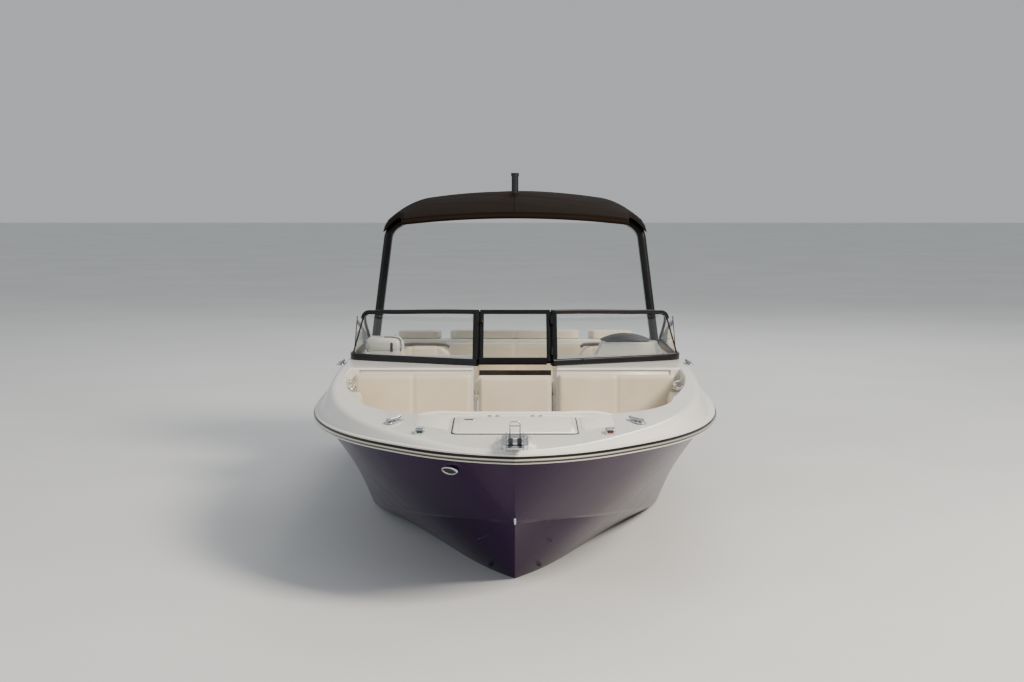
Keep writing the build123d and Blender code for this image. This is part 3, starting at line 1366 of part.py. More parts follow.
def make_propeller():
    """Hub with helical blades; each blade is lofted through four sections."""
    z = PIVOT_Z - SHAFT_DROP
    hub = Solid.make_cone(HUB_R, HUB_R - 6, HUB_LENGTH, Plane(origin=(0, -HUB_LENGTH / 2, 0), z_dir=(0, 1, 0)))
    nut = Solid.make_cone(26, 20, 26, Plane(origin=(0, HUB_LENGTH / 2 - 2, 0), z_dir=(0, 1, 0)))
    # radius, chord, thickness, rake
    table = [(HUB_R - 8, 84, 13, 0), (90, 118, 9, 6), (135, 112, 6, 14), (PROP_R, 48, 3, 24)]
    blade = Solid.make_loft([blade_section(*row) for row in table])
    body = hub + nut
    for i in range(PROP_BLADES):
        body = body + blade.rotate(Axis.Y, 360 * i / PROP_BLADES)
    body = body - Solid.make_cylinder(SHAFT_R + SHAFT_CLEARANCE, 2 * HUB_LENGTH,
                                      Plane(origin=(0, -HUB_LENGTH, 0), z_dir=(0, 1, 0)))
    return body.moved(Location(at(PIVOT_S + HUB_START + HUB_LENGTH / 2, 0, z)))


def trim_frame():
    """The cylinder's line at rest: start, unit direction and length."""
    start = Vector(0, PIVOT_S + BOW_Y + TRIM_RING_EYE[0], PIVOT_Z + TRIM_RING_EYE[1])
    end = Vector(0, PIVOT_S + BOW_Y + TRIM_LEG_EYE[0], PIVOT_Z + TRIM_LEG_EYE[1])
    return start, (end - start).normalized(), (end - start).length


def make_barrel(side):
    start, along, length = trim_frame()
    start = start + Vector(side * TRIM_X, 0, 0)
    eye = Solid.make_cylinder(EYE_R - 2, 24, Plane(start - Vector(12, 0, 0), z_dir=(1, 0, 0)))
    tube = Solid.make_cylinder(BARREL_R, 165, Plane(start + along * 16, z_dir=along))
    bore = Solid.make_cylinder(ROD_R + PIN_CLEARANCE, 140, Plane(start + along * 55, z_dir=along))
    hole = Solid.make_cylinder(EYE_PIN_R + PIN_CLEARANCE, 60, Plane(start - Vector(30, 0, 0), z_dir=(1, 0, 0)))
    return (eye + tube) - bore - hole


def make_rod(side):
    start, along, length = trim_frame()
    start = start + Vector(side * TRIM_X, 0, 0)
    rod = Solid.make_cylinder(ROD_R, length - 68 - 14, Plane(start + along * 68, z_dir=along))
    end = start + along * length
    eye = Solid.make_cylinder(EYE_R, 24, Plane(end - Vector(12, 0, 0), z_dir=(1, 0, 0)))
    hole = Solid.make_cylinder(ROD_EYE_HOLE_R, 60, Plane(end - Vector(30, 0, 0), z_dir=(1, 0, 0)))
    return (rod + eye) - hole


def save(name, shape):
    """Write one node; a list becomes solids that share the node."""
    if isinstance(shape, (list, ShapeList)):
        shape = Compound(children=list(shape))
    export_step(shape, "parts/" + name + ".step")


def main():
    save("hull", make_hull())
    save("deck", make_deck())
    save("rub_rail", make_rub_rail())
    save("rail_insert", make_rail_insert())
    save("cockpit_liner", make_liner())
    save("locker_liner", make_locker_liner())
    console = make_console(1)
    save("consoles", [console, make_console(-1)])
    save("console_pads", make_console_pads())
    save("bow_seats", make_bow_seats())
    save("bow_bolsters", make_bow_backs())
    shield = make_shield_frame()
    save("windshield_frame", shield)
    save("windshield_glass", make_shield_glass(shield))
    gate = make_gate_frame()
    save("gate_frame", gate)
    save("gate_glass", make_gate_glass(gate))
    save("bow_door", make_bow_door())
    save("bow_door_pad", make_door_pad())
    save("anchor_locker_lid", make_locker_lid())
    save("engine_hatch", make_engine_hatch())
    save("hatch_gutter", make_hatch_ledge())
    save("sunpad", make_sunpad())
    save("aft_side_pads", make_side_pads())
    save("bench_base", make_bench_base())
    save("bench_cushions", make_bench_cushions() + make_bench_backs())
    save("helm_hood", make_helm_hood())
    save("helm_gauges", make_gauges())
    save("steering_wheel", make_steering_wheel())
    save("steering_column", make_steering_column(console))
    save("throttle", make_throttle())
    save("helm_seat", make_seat(1))
    save("companion_seat", make_seat(-1))
    save("seat_pedestals", make_pedestals())
    arch = make_arch()
    save("arch", [arch] + make_arch_feet())
    canopy = make_canopy()
    save("canopy", canopy)
    save("canopy_bows", make_canopy_bows(arch))
    save("light_mast", make_mast(canopy))
    save("bow_roller", make_roller())
    save("deck_fittings", make_cleats() + make_nav_lights() + make_eyes())
    save("hinges", make_fixed_hinges())
    save("hull_vent", make_hull_vent())
    save("grab_rails", make_rails())
    save("swim_platform", make_platform())
    save("engine", make_engine())
    save("engine_beds", make_engine_beds())
    save("transom_housing", make_housing())
    save("drive_bellows", make_bellows())
    save("gimbal_ring", make_gimbal_ring())
    save("drive_leg", make_drive())
    save("propeller", make_propeller())
    save("trim_barrel_port", make_barrel(1))
    save("trim_barrel_starboard", make_barrel(-1))
    save("trim_rod_port", make_rod(1))
    save("trim_rod_starboard", make_rod(-1))


main()
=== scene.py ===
"""The finish and soft goods of an open motor boat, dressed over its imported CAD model."""

import math

import bmesh
import bpy
from mathutils import Matrix, Vector


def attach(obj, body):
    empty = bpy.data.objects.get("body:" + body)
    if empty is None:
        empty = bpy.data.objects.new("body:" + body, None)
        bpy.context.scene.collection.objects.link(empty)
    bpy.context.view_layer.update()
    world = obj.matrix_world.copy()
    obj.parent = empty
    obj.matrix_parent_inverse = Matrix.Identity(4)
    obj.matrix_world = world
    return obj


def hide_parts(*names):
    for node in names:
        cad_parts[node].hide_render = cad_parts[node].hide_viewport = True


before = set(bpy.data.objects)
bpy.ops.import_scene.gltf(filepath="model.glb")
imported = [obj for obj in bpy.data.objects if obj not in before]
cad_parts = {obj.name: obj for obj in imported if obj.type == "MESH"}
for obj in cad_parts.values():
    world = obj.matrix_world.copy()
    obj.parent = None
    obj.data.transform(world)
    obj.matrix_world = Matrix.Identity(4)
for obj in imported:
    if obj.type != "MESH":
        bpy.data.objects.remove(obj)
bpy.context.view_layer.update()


def clear():
    """Back to object mode with nothing selected."""
    if bpy.context.object and bpy.context.object.mode != "OBJECT":
        bpy.ops.object.mode_set(mode="OBJECT")
    bpy.ops.object.select_all(action="DESELECT")


def only(*pieces):
    """Selects just these pieces, the first one active."""
    clear()
    for piece in pieces:
        piece.select_set(True)
    bpy.context.view_layer.objects.active = pieces[0]


def editing(piece):
    """Edit mode on one piece, with all of it selected."""
    only(piece)
    bpy.ops.object.mode_set(mode="EDIT")
    bpy.ops.mesh.select_all(action="SELECT")


# A station is the distance aft of the stem's head in millimetres, and port is +x
BOW = -3.3              # the stem's head along y, in metres


def at(s, x, z):
    """A point from a station, a half breadth and a height in millimetres."""
    return Vector((x / 1000, s / 1000 + BOW, z / 1000))


def path(side, *points):
    """Points on one side of the keel: 1 is port and -1 starboard."""
    return [at(s, side * x, z) for s, x, z in points]


# Materials

def colour(code):
    """An sRGB hex code as the linear colour that the shader wants."""
    parts = [int(code[i:i + 2], 16) / 255 for i in (1, 3, 5)]
    return (*[p / 12.92 if p <= 0.04045 else ((p + 0.055) / 1.055) ** 2.4 for p in parts], 1)


def add(tree, kind, inputs=None, **settings):
    """One node with its settings; inputs are values or other nodes' outputs."""
    node = tree.nodes.new("ShaderNode" + kind)
    for key, value in settings.items():
        setattr(node, key, value)
    for key, value in (inputs or {}).items():
        if isinstance(value, bpy.types.NodeSocket):
            tree.links.new(value, node.inputs[key])
        else:
            node.inputs[key].default_value = value
    return node


def start(name, **sockets):
    """A new material, its tree and its shader with constants on the sockets."""
    material = bpy.data.materials.new(name)
    material.use_nodes = True
    tree = material.node_tree
    shader = tree.nodes["Principled BSDF"]
    for key, value in sockets.items():
        shader.inputs[key.replace("_", " ")].default_value = value
    return material, tree, shader


def coordinates(tree, stretch=(1, 1, 1)):
    """The object's own coordinates in metres, stretched where a pattern runs one way."""
    place = add(tree, "TexCoord")
    return add(tree, "Mapping", {"Vector": place.outputs["Object"], "Scale": stretch}).outputs[0]


def noise(tree, place, millimetres, detail=3.0, roughness=0.5):
    """Noise whose blotches are about this wide."""
    return add(tree, "TexNoise", {"Vector": place, "Scale": 1000 / millimetres, "Detail": detail,
                                  "Roughness": roughness}).outputs["Fac"]


def tints(tree, fac, *stops):
    """A ramp of sRGB colours over a pattern."""
    ramp = add(tree, "ValToRGB", {"Fac": fac})
    elements = ramp.color_ramp.elements
    while len(elements) < len(stops):
        elements.new(0.5)
    for element, (spot, code) in zip(elements, stops):
        element.position = spot
        element.color = colour(code)
    return ramp.outputs["Color"]


def levels(tree, fac, low, high):
    """A pattern's 0 to 1 spread between two values."""
    return add(tree, "MapRange", {"Value": fac, "To Min": low, "To Max": high}).outputs[0]


def relief(tree, shader, height, depth, strength=1.0, under=None):
    """Bump from a height pattern, its depth in millimetres."""
    inputs = {"Height": height, "Distance": depth / 1000, "Strength": strength}
    if under is not None:
        inputs["Normal"] = under
    bump = add(tree, "Bump", inputs)
    tree.links.new(bump.outputs["Normal"], shader.inputs["Normal"])
    return bump.outputs["Normal"]


def maths(tree, operation, first, second=0.0, third=0.0):
    """One step of arithmetic on patterns."""
    return add(tree, "Math", {0: first, 1: second, 2: third}, operation=operation).outputs[0]


def mix(tree, share, first, second):
    """Two colours or patterns mixed."""
    return add(tree, "Mix", {"Factor": share, "A": first, "B": second},
               data_type="RGBA").outputs["Result"]


def coloured(tree, shader, base):
    """Links a pattern to the shader's colour."""
    tree.links.new(base, shader.inputs["Base Color"])


def glossed(tree, shader, pattern, low, high):
    """Links a pattern, spread between two values, to the shader's roughness."""
    tree.links.new(levels(tree, pattern, low, high), shader.inputs["Roughness"])


def mottled(name, shades, gloss, grain, **sockets):
    """A material of one colour that varies a little, with its gloss, over a fine relief.

    shades: blotches in mm, noise detail, (place, colour) twice; gloss: blotches in mm, detail,
    roughness from and to; grain: width in mm, detail, depth in mm, strength.
    """
    material, tree, shader = start(name, **sockets)
    place = coordinates(tree)
    coloured(tree, shader, tints(tree, noise(tree, place, *shades[:2]), *shades[2:]))
    glossed(tree, shader, noise(tree, place, *gloss[:2]), *gloss[2:])
    relief(tree, shader, noise(tree, place, *grain[:2]), *grain[2:])
    return material


def hull_gelcoat():
    """Aubergine polyester gelcoat, sprayed in a polished mould: deep, glossy, faintly rippled."""
    material, tree, shader = start("hull_gelcoat", IOR=1.42, Specular_IOR_Level=0.1)
    place = coordinates(tree)
    cloud = noise(tree, place, 900, 2)
    fleck = noise(tree, place, 5, 1)
    deep = tints(tree, cloud, (0.25, "#200E2A"), (0.8, "#2C1538"))
    coloured(tree, shader, mix(tree, maths(tree, "MULTIPLY", fleck, 0.2), deep, colour("#35203F")))
    glossed(tree, shader, noise(tree, place, 160, 4), 0.14, 0.24)
    relief(tree, shader, noise(tree, place, 240, 1), 1.2, 0.5)
    return material


def white_gelcoat(name, light, shade, sheen):
    """White gelcoat: even and glossy, a little warmer where it has weathered."""
    return mottled(name, (700, 4, (0.3, shade), (0.7, light)), (120, 4, sheen, sheen + 0.12),
                   (180, 2, 0.6, 0.4), IOR=1.52, Coat_Weight=0.25, Coat_Roughness=0.08)


def grip_gelcoat():
    """Non-skid moulded into the deck: a pebble pattern of 4 mm, drawn at 7 mm to show."""
    material, tree, shader = start("grip_gelcoat", IOR=1.5, Roughness=0.55)
    place = coordinates(tree)
    pebbles = add(tree, "TexVoronoi", {"Vector": place, "Scale": 1000 / 7}).outputs["Distance"]
    coloured(tree, shader, mix(tree, pebbles, colour("#E9E6DE"), colour("#C9C6BE")))
    relief(tree, shader, maths(tree, "SUBTRACT", 1.0, pebbles), 1.2, 0.7)
    return material


def marine_vinyl(name, light, dark, sheen=0.42):
    """Marine vinyl: embossed leather grain of about 1.5 mm, drawn at 4 mm, with soft creases."""
    material, tree, shader = start(name, IOR=1.5, Sheen_Weight=0.12, Sheen_Roughness=0.5)
    place = coordinates(tree)
    coloured(tree, shader, tints(tree, noise(tree, place, 260, 5), (0.25, dark), (0.75, light)))
    grain = add(tree, "TexVoronoi", {"Vector": place, "Scale": 1000 / 4},
                feature="DISTANCE_TO_EDGE")
    crease = noise(tree, coordinates(tree, (1, 1, 2.2)), 70, 4, 0.55)
    glossed(tree, shader, crease, sheen - 0.06, sheen + 0.1)
    soft = relief(tree, shader, crease, 2.2, 0.35)
    relief(tree, shader, grain.outputs["Distance"], 0.3, 0.35, soft)
    return material


def stainless():
    """Stainless steel, polished by buffing: bright with fine lines along its length."""
    material, tree, shader = start("polished_stainless", Metallic=1.0)
    place = coordinates(tree)
    steel = tints(tree, noise(tree, place, 90, 3), (0.3, "#B9BCC0"), (0.7, "#DADCDE"))
    coloured(tree, shader, steel)
    lines = noise(tree, coordinates(tree, (1, 0.06, 1)), 3, 3)
    glossed(tree, shader, lines, 0.08, 0.24)
    relief(tree, shader, lines, 0.05, 0.2)
    return material


def satin_aluminium():
    """Brushed and clear anodised aluminium, dull and slightly streaked."""
    material, tree, shader = start("satin_aluminium", Metallic=1.0)
    streaks = noise(tree, coordinates(tree, (0.1, 1, 1)), 4, 4)
    coloured(tree, shader, tints(tree, streaks, (0.3, "#8E9194"), (0.7, "#A9ACAF")))
    glossed(tree, shader, streaks, 0.32, 0.5)
    relief(tree, shader, streaks, 0.1, 0.25)
    return material


def shield_glass():
    """Toughened glass, 6 mm, with the faintest grey green at its edges and a film of salt."""
    material, tree, shader = start("shield_glass", IOR=1.5, Transmission_Weight=1.0,
                                   Base_Color=colour("#F7FAF9"))
    salt = noise(tree, coordinates(tree), 35, 5, 0.6)
    glossed(tree, shader, salt, 0.0, 0.05)
    relief(tree, shader, noise(tree, coordinates(tree), 400, 1), 0.2, 0.15)
    return material


WEAVE_SCALE = 39.3      # a wave's scale for threads 8 mm apart


def woven_canvas():
    """Solution dyed acrylic canvas, plain weave of 0.8 mm threads, drawn at 8 mm to show."""
    material, tree, shader = start("woven_canvas", IOR=1.35, Specular_IOR_Level=0.1)
    place = coordinates(tree)
    threads = {"Vector": place, "Scale": WEAVE_SCALE, "Distortion": 0.4}
    across = add(tree, "TexWave", threads, bands_direction="X").outputs["Fac"]
    along = add(tree, "TexWave", threads, bands_direction="Y").outputs["Fac"]
    weave = maths(tree, "MULTIPLY", across, along)
    sun = noise(tree, place, 320, 5)
    brown = tints(tree, sun, (0.3, "#100B08"), (0.8, "#1B130D"))
    coloured(tree, shader, mix(tree, weave, brown, colour("#2A2018")))
    glossed(tree, shader, sun, 0.78, 0.92)
    soft = relief(tree, shader, noise(tree, place, 120, 4), 3.0, 0.3)
    relief(tree, shader, weave, 0.5, 0.5, soft)
    return material


def moulded_plastic(name, light, dark, sheen):
    """Injection moulded ABS or vinyl skin with a fine spark eroded grain of 2 mm."""
    return mottled(name, (90, 4, (0.3, dark), (0.75, light)), (40, 3, sheen, sheen + 0.14),
                   (2, 2, 0.12, 0.5), IOR=1.46)


def floor_paper():
    """A plain pale studio floor with the slightest mottle."""
    material, tree, shader = start("studio_floor", IOR=1.3, Roughness=0.8)
    mottle = noise(tree, coordinates(tree), 2500, 3)
    coloured(tree, shader, tints(tree, mottle, (0.3, "#D6D7D6"), (0.7, "#DEDFDE")))
    return material


RAIL_MIDDLE = 0.8155    # the rub rail's middle over the waterline amidships, in metres
RAIL_RISE = 0.015       # how much it rises for each metre forward


def rail_height(tree, low, high):
    """Height over the rub rail's middle, as 0 to 1 between two heights in metres."""
    split = add(tree, "SeparateXYZ", {"Vector": coordinates(tree)})
    level = maths(tree, "MULTIPLY_ADD", split.outputs["Y"], RAIL_RISE, split.outputs["Z"])
    above = maths(tree, "SUBTRACT", level, RAIL_MIDDLE)
    return add(tree, "MapRange", {"Value": above, "From Min": low, "From Max": high}).outputs[0]


def rub_rail_vinyl_painted_shade():
    """Extruded PVC rub rail: white lips round the bright insert, with painted shade: the groove on
    each side of the insert painted black and the lower lip painted greyer.
    """
    material, tree, shader = start("rub_rail_vinyl_painted_shade", IOR=1.5, Roughness=0.35, Coat_Weight=0.2)
    band = rail_height(tree, -0.040, 0.012)
    # painted shade: lower lip grey, groove round the insert black, upper lip white
    ramp = tints(tree, band, (0.0, "#C4C2BC"), (0.17, "#0B0B0D"), (0.81, "#E6E3DC"))
    ramp.node.color_ramp.interpolation = "CONSTANT"
    coloured(tree, shader, ramp)
    relief(tree, shader, noise(tree, coordinates(tree), 60, 3), 0.3, 0.3)
    return material


def rail_strip_painted_reflection():
    """Drawn stainless strip of half round section, its reflections painted into its colour: a
    painted highlight along its crown, painted dark reflections at both edges, its lower side
    painted lighter than its upper side.
    """
    material, tree, shader = start("rail_strip_painted_reflection", Metallic=1.0)
    band = rail_height(tree, -0.023, -0.005)
    # painted reflection over the strip's height: dark edges, bright crown, lower side lighter than
    # upper
    coloured(tree, shader, tints(tree, band, (0.0, "#1A1816"), (0.28, "#A39A8C"),
                                 (0.5, "#E4DFD3"), (0.72, "#57504A"), (1.0, "#141313")))
    lines = noise(tree, coordinates(tree, (1, 0.06, 1)), 6, 3)
    glossed(tree, shader, lines, 0.10, 0.24)
    relief(tree, shader, lines, 0.05, 0.2)
    return material


def lens(name, code):
    """Cast acrylic lens, deep coloured and smooth."""
    material, tree, shader = start(name, IOR=1.49, Coat_Weight=0.5)
    place = coordinates(tree)
    ribs = add(tree, "TexWave", {"Vector": place, "Scale": 40.0}).outputs["Fac"]
    coloured(tree, shader, tints(tree, ribs, (0.2, "#0C0C0D"), (0.9, code)))
    glossed(tree, shader, ribs, 0.08, 0.2)
    relief(tree, shader, ribs, 0.4, 0.4)
    return material


def woven_mat():
    """Woven vinyl mat: flat yarns of 3 mm in a basket weave, drawn at 8 mm."""
    material, tree, shader = start("woven_mat", IOR=1.45, Sheen_Weight=0.2)
    place = coordinates(tree)
    weave = add(tree, "TexChecker", {"Vector": place, "Scale": 1000 / 8,
                                     "Color1": colour("#8C8377"), "Color2": colour("#6E665C")})
    coloured(tree, shader, mix(tree, noise(tree, place, 300, 4), weave.outputs["Color"],
                               colour("#9A9084")))
    glossed(tree, shader, noise(tree, place, 20, 2), 0.6, 0.8)
    relief(tree, shader, weave.outputs["Fac"], 0.6, 0.6)
    return material


def pale_webbing():
    """Flat woven polyester tape, off white, in ribs of 2 mm drawn at 3 mm."""
    material, tree, shader = start("pale_webbing", IOR=1.5, Roughness=0.8)
    scale = 1000 / 3 / 20
    ribs = add(tree, "TexWave", {"Vector": coordinates(tree), "Scale": scale}).outputs["Fac"]
    coloured(tree, shader, tints(tree, ribs, (0.2, "#C9C4B8"), (0.8, "#E8E4DA")))
    relief(tree, shader, ribs, 0.4, 0.5)
    return material


FINISH = {
    "hull": hull_gelcoat(),
    "deck": white_gelcoat("deck_gelcoat", "#EFEDE6", "#E4E1D8", 0.16),
    "liner": white_gelcoat("liner_gelcoat", "#E6E3DB", "#D8D4CA", 0.24),
    "grip": grip_gelcoat(),
    "vinyl": marine_vinyl("beige_vinyl", "#DDD2BD", "#CFC2AA"),
    "brown_vinyl": marine_vinyl("brown_vinyl", "#4A3B31", "#37291F", 0.5),
    # aluminium with a black satin powder coat: a fine orange peel of 1 mm, drawn at 2 mm
    "frame": mottled("black_frame", (140, 4, (0.3, "#08080A"), (0.75, "#101013")),
                     (60, 4, 0.28, 0.42), (2, 1, 0.15, 0.3), IOR=1.45, Specular_IOR_Level=0.35),
    "stainless": stainless(),
    "aluminium": satin_aluminium(),
    "glass": shield_glass(),
    "canvas": woven_canvas(),
    "dash": moulded_plastic("dash_skin", "#211A17", "#15110F", 0.5),
    "black_plastic": moulded_plastic("black_plastic", "#1C1C1E", "#121213", 0.35),
    # baked enamel over cast aluminium: semi gloss black with the casting's soft skin
    "drive": mottled("drive_enamel", (200, 4, (0.3, "#141518"), (0.8, "#202226")),
                     (30, 4, 0.25, 0.42), (9, 2, 0.3, 0.35), IOR=1.5, Coat_Weight=0.35,
                     Coat_Roughness=0.15),
    # moulded rubber, matt, with a little bloom
    "rubber": mottled("moulded_rubber", (60, 4, (0.3, "#101011"), (0.8, "#1C1C1D")),
                      (25, 3, 0.6, 0.8), (3, 2, 0.2, 0.5), IOR=1.5),
    "rail": rub_rail_vinyl_painted_shade(),
    "strip": rail_strip_painted_reflection(),
    "red_lens": lens("red_lens", "#7A1712"),
    "green_lens": lens("green_lens", "#0F5A34"),
    "mat": woven_mat(),
    "webbing": pale_webbing(),
    # aluminium extrusion, bead blasted and bronze anodised: a dull dark metal
    "dark_metal": mottled("bronze_anodised", (80, 3, (0.3, "#3B3733"), (0.7, "#4C4842")),
                          (30, 3, 0.3, 0.45), (2, 1, 0.1, 0.3), Metallic=1.0),
}

NODES = {
    "hull": "hull", "rail": "rub_rail", "strip": "rail_insert", "canvas": "canopy",
    "deck": "deck anchor_locker_lid engine_hatch swim_platform",
    "liner": "cockpit_liner locker_liner consoles bow_door hatch_gutter bench_base engine_beds",
    "vinyl": "console_pads bow_seats bow_bolsters bow_door_pad sunpad aft_side_pads "
             "bench_cushions helm_seat companion_seat",
    "frame": "windshield_frame gate_frame arch canopy_bows",
    "glass": "windshield_glass gate_glass", "dash": "helm_hood", "aluminium": "seat_pedestals",
    "black_plastic": "helm_gauges steering_column throttle light_mast",
    "rubber": "steering_wheel drive_bellows",
    "stainless": "bow_roller deck_fittings hinges hull_vent grab_rails propeller trim_rod_port "
                 "trim_rod_starboard",
    "drive": "engine transom_housing gimbal_ring drive_leg trim_barrel_port "
             "trim_barrel_starboard",
}
for finish, nodes in NODES.items():
    for node in nodes.split():
        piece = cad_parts[node]
        piece.data.materials.clear()
        piece.data.materials.append(FINISH[finish])


# Soft goods

def smooth(piece, degrees=35):
    """Smooth shading that keeps edges sharper than this."""
    only(piece)
    bpy.ops.object.shade_smooth_by_angle(angle=math.radians(degrees))


def shaped(piece, kind, **settings):
    """Adds a modifier, sets it and applies it."""
    only(piece)
    modifier = piece.modifiers.new(kind.title(), kind)
    for key, value in settings.items():
        setattr(modifier, key, value)
    bpy.ops.object.modifier_apply(modifier=modifier.name)


def dressed(piece, body, finish, slot, *stands_for):
    """Gives a finished piece its material, its body and what it stands for."""
    piece.data.materials.clear()
    piece.data.materials.append(FINISH[finish])
    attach(piece, body)
    if stands_for:
        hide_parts(*stands_for)
    return piece


def linked(name, mesh):
    """A new piece of some mesh, in the scene."""
    piece = bpy.data.objects.new(name, mesh)
    bpy.context.scene.collection.objects.link(piece)
    return piece


def cad_copy(name, node):
    """A merged copy of a CAD node's mesh to work on."""
    piece = linked(name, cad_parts[node].data.copy())
    editing(piece)
    bpy.ops.mesh.remove_doubles(threshold=0.0001)
    bpy.ops.object.mode_set(mode="OBJECT")
    return piece


CLOTH_FRAMES = 14       # steps of the cloth's run


def stuffed(name, node, voxel, pressure, most):
    """A CAD pad blown up as cloth round its foam, held within a few millimetres of its solid."""
    piece = cad_copy(name, node)
    shaped(piece, "REMESH", mode="VOXEL", voxel_size=voxel)
    shaped(piece, "DISPLACE", strength=-most * 0.7, mid_level=0.0)
    before = [v.co.copy() for v in piece.data.vertices]
    cloth = piece.modifiers.new("Cloth", "CLOTH")
    cloth.settings.use_pressure = True
    cloth.settings.uniform_pressure_force = pressure
    cloth.settings.effector_weights.gravity = 0
    cloth.settings.tension_stiffness = 15
    cloth.settings.bending_stiffness = 2
    cloth.settings.quality = 3
    cloth.point_cache.frame_end = CLOTH_FRAMES
    scene = bpy.context.scene
    for count in range(1, CLOTH_FRAMES + 1):
        scene.frame_set(count)
    only(piece)
    bpy.ops.object.modifier_apply(modifier=cloth.name)
    scene.frame_set(1)
    floor = min(v.z for v in before)
    for vertex, old in zip(piece.data.vertices, before):
        move = vertex.co - old
        if move.length > most:
            move.length = most
        vertex.co = old + move
        vertex.co.z = max(vertex.co.z, floor - most * 0.6)
    shaped(piece, "SMOOTH", factor=0.6, iterations=4)
    smooth(piece, 180)
    return piece


def channels(piece, axis, places, width, depth):
    """Sewn channels: the cloth is drawn in along some planes across one axis, in metres."""
    mesh = piece.data
    normals = [v.normal.copy() for v in mesh.vertices]
    for vertex, normal in zip(mesh.vertices, normals):
        near = min(abs(vertex.co[axis] - place) for place in places)
        if near < width:
            vertex.co -= normal * (depth * (1 - near / width) ** 1.5)


# Sewn channels: pad, axis (0 across, 1 along), places in metres
SEAMS = {
    "console_backrests": (0, [-0.67, 0.67]),
    "stern_sunpad": (0, [-0.30, 0.0, 0.30]),
    "stern_bench_pads": (0, [-0.62, -0.31, 0.0, 0.31, 0.62]),
    "bow_seat_pads": (1, [-1.75, -1.20]),
    "bow_side_bolsters": (1, [-1.75, -1.20]),
    "helm_bucket": (0, [0.60, 0.80]),
    "companion_bucket": (0, [-0.80, -0.60]),
    "stern_side_pads": (1, [2.60, 2.86]),
}

CUSHIONS = [
    # name, CAD node, body, voxel in metres, pressure, most that a point may move in metres
    ("bow_seat_pads", "bow_seats", "boat", 0.014, 5, 0.008),
    ("bow_side_bolsters", "bow_bolsters", "boat", 0.011, 5, 0.008),
    ("console_backrests", "console_pads", "boat", 0.009, 4, 0.007),
    ("door_backrest", "bow_door_pad", "bow_door", 0.0075, 3, 0.004),
    ("stern_sunpad", "sunpad", "engine_hatch", 0.012, 5, 0.008),
    ("stern_side_pads", "aft_side_pads", "boat", 0.010, 5, 0.008),
    ("stern_bench_pads", "bench_cushions", "boat", 0.013, 5, 0.009),
    ("helm_bucket", "helm_seat", "helm_seat", 0.0095, 5, 0.009),
    ("companion_bucket", "companion_seat", "companion_seat", 0.0095, 5, 0.009),
]
for name, node, body, voxel, pressure, most in CUSHIONS:
    pad = stuffed(name, node, voxel, pressure, most)
    if name in SEAMS:
        channels(pad, *SEAMS[name], width=0.026, depth=0.008)
    dressed(pad, body, "vinyl", "upholstery", node)


# Shapes shared by the pieces

ARC_RADIUS = 37624.77   # the deck's top along the keel, an arc in millimetres
ARC_STATION, ARC_HEIGHT = 3186.43, -36584.6
BREAK, BOW_TOP = 2700, 885.0    # ahead of this station the top eases down to the stem's height


def crown(s):
    """Height of the deck's top over the waterline at a station, in millimetres."""
    arc = ARC_HEIGHT + math.sqrt(ARC_RADIUS ** 2 - (max(s, BREAK) - ARC_STATION) ** 2)
    return arc - (arc - BOW_TOP) * (BREAK - s) / BREAK if s < BREAK else arc


def on_deck(s, x, lift=0.0):
    """A point on the deck's top, in metres."""
    return at(s, x, crown(s) + lift)


def settled(name, stretch=(1, 1, 1)):
    """The primitive just added, named, with its place, turn and stretch in its mesh."""
    piece = bpy.context.object
    piece.name = name
    if stretch != (1, 1, 1):
        piece.scale = stretch
    bpy.ops.object.transform_apply(location=True, rotation=True, scale=True)
    return piece


def block(name, low, high, round_by=0.0, steps=3):
    """A box between two corners in metres, its edges rounded."""
    clear()
    bpy.ops.mesh.primitive_cube_add(size=1, location=[(a + b) / 2 for a, b in zip(low, high)],
                                    scale=[b - a for a, b in zip(low, high)])
    piece = settled(name)
    if round_by:
        shaped(piece, "BEVEL", width=round_by, segments=steps, limit_method="ANGLE")
        smooth(piece)
    return piece


def rod(name, first, last, radius, sides=28, round_by=0.0):
    """A round bar between two points."""
    clear()
    turn = (last - first).to_track_quat("Z", "Y").to_euler()
    bpy.ops.mesh.primitive_cylinder_add(vertices=sides, radius=radius, depth=(last - first).length,
                                        location=(first + last) / 2, rotation=turn)
    piece = settled(name)
    if round_by:
        shaped(piece, "BEVEL", width=round_by, segments=2, limit_method="ANGLE")
    smooth(piece)
    return piece


def ring(name, place, turn, major, minor, around, section, stretch=(1, 1, 1)):
    """A torus at a point, stretched in its own axes."""
    clear()
    bpy.ops.mesh.primitive_torus_add(location=place, rotation=turn, major_radius=major,
                                     minor_radius=minor, major_segments=around,
                                     minor_segments=section)
    piece = settled(name, stretch)
    smooth(piece, 60)
    return piece


def curve(name, points, corners="AUTO", fine=12):
    """A curve through some points, still without a section."""
    clear()
    bpy.ops.curve.primitive_bezier_curve_add()
    piece = bpy.context.object
    piece.name = name
    piece.location = (0, 0, 0)
    run = piece.data.splines[0]
    run.bezier_points.add(len(points) - 2)
    for knot, point in zip(run.bezier_points, points):
        knot.co = point
        knot.handle_left_type = knot.handle_right_type = corners
    run.resolution_u = fine
    piece.data.use_fill_caps = True
    return piece


def meshed(degrees):
    """The curve in hand made a mesh, shaded smooth."""
    bpy.ops.object.convert(target="MESH")
    piece = bpy.context.object
    smooth(piece, degrees)
    return piece


def tube(name, points, radius, closed=False, corners="AUTO", fine=8, sides=4):
    """A bent tube through some points."""
    data = curve(name, points, corners, fine).data
    data.splines[0].use_cyclic_u = closed
    data.bevel_depth = radius
    data.bevel_resolution = sides
    return meshed(60)


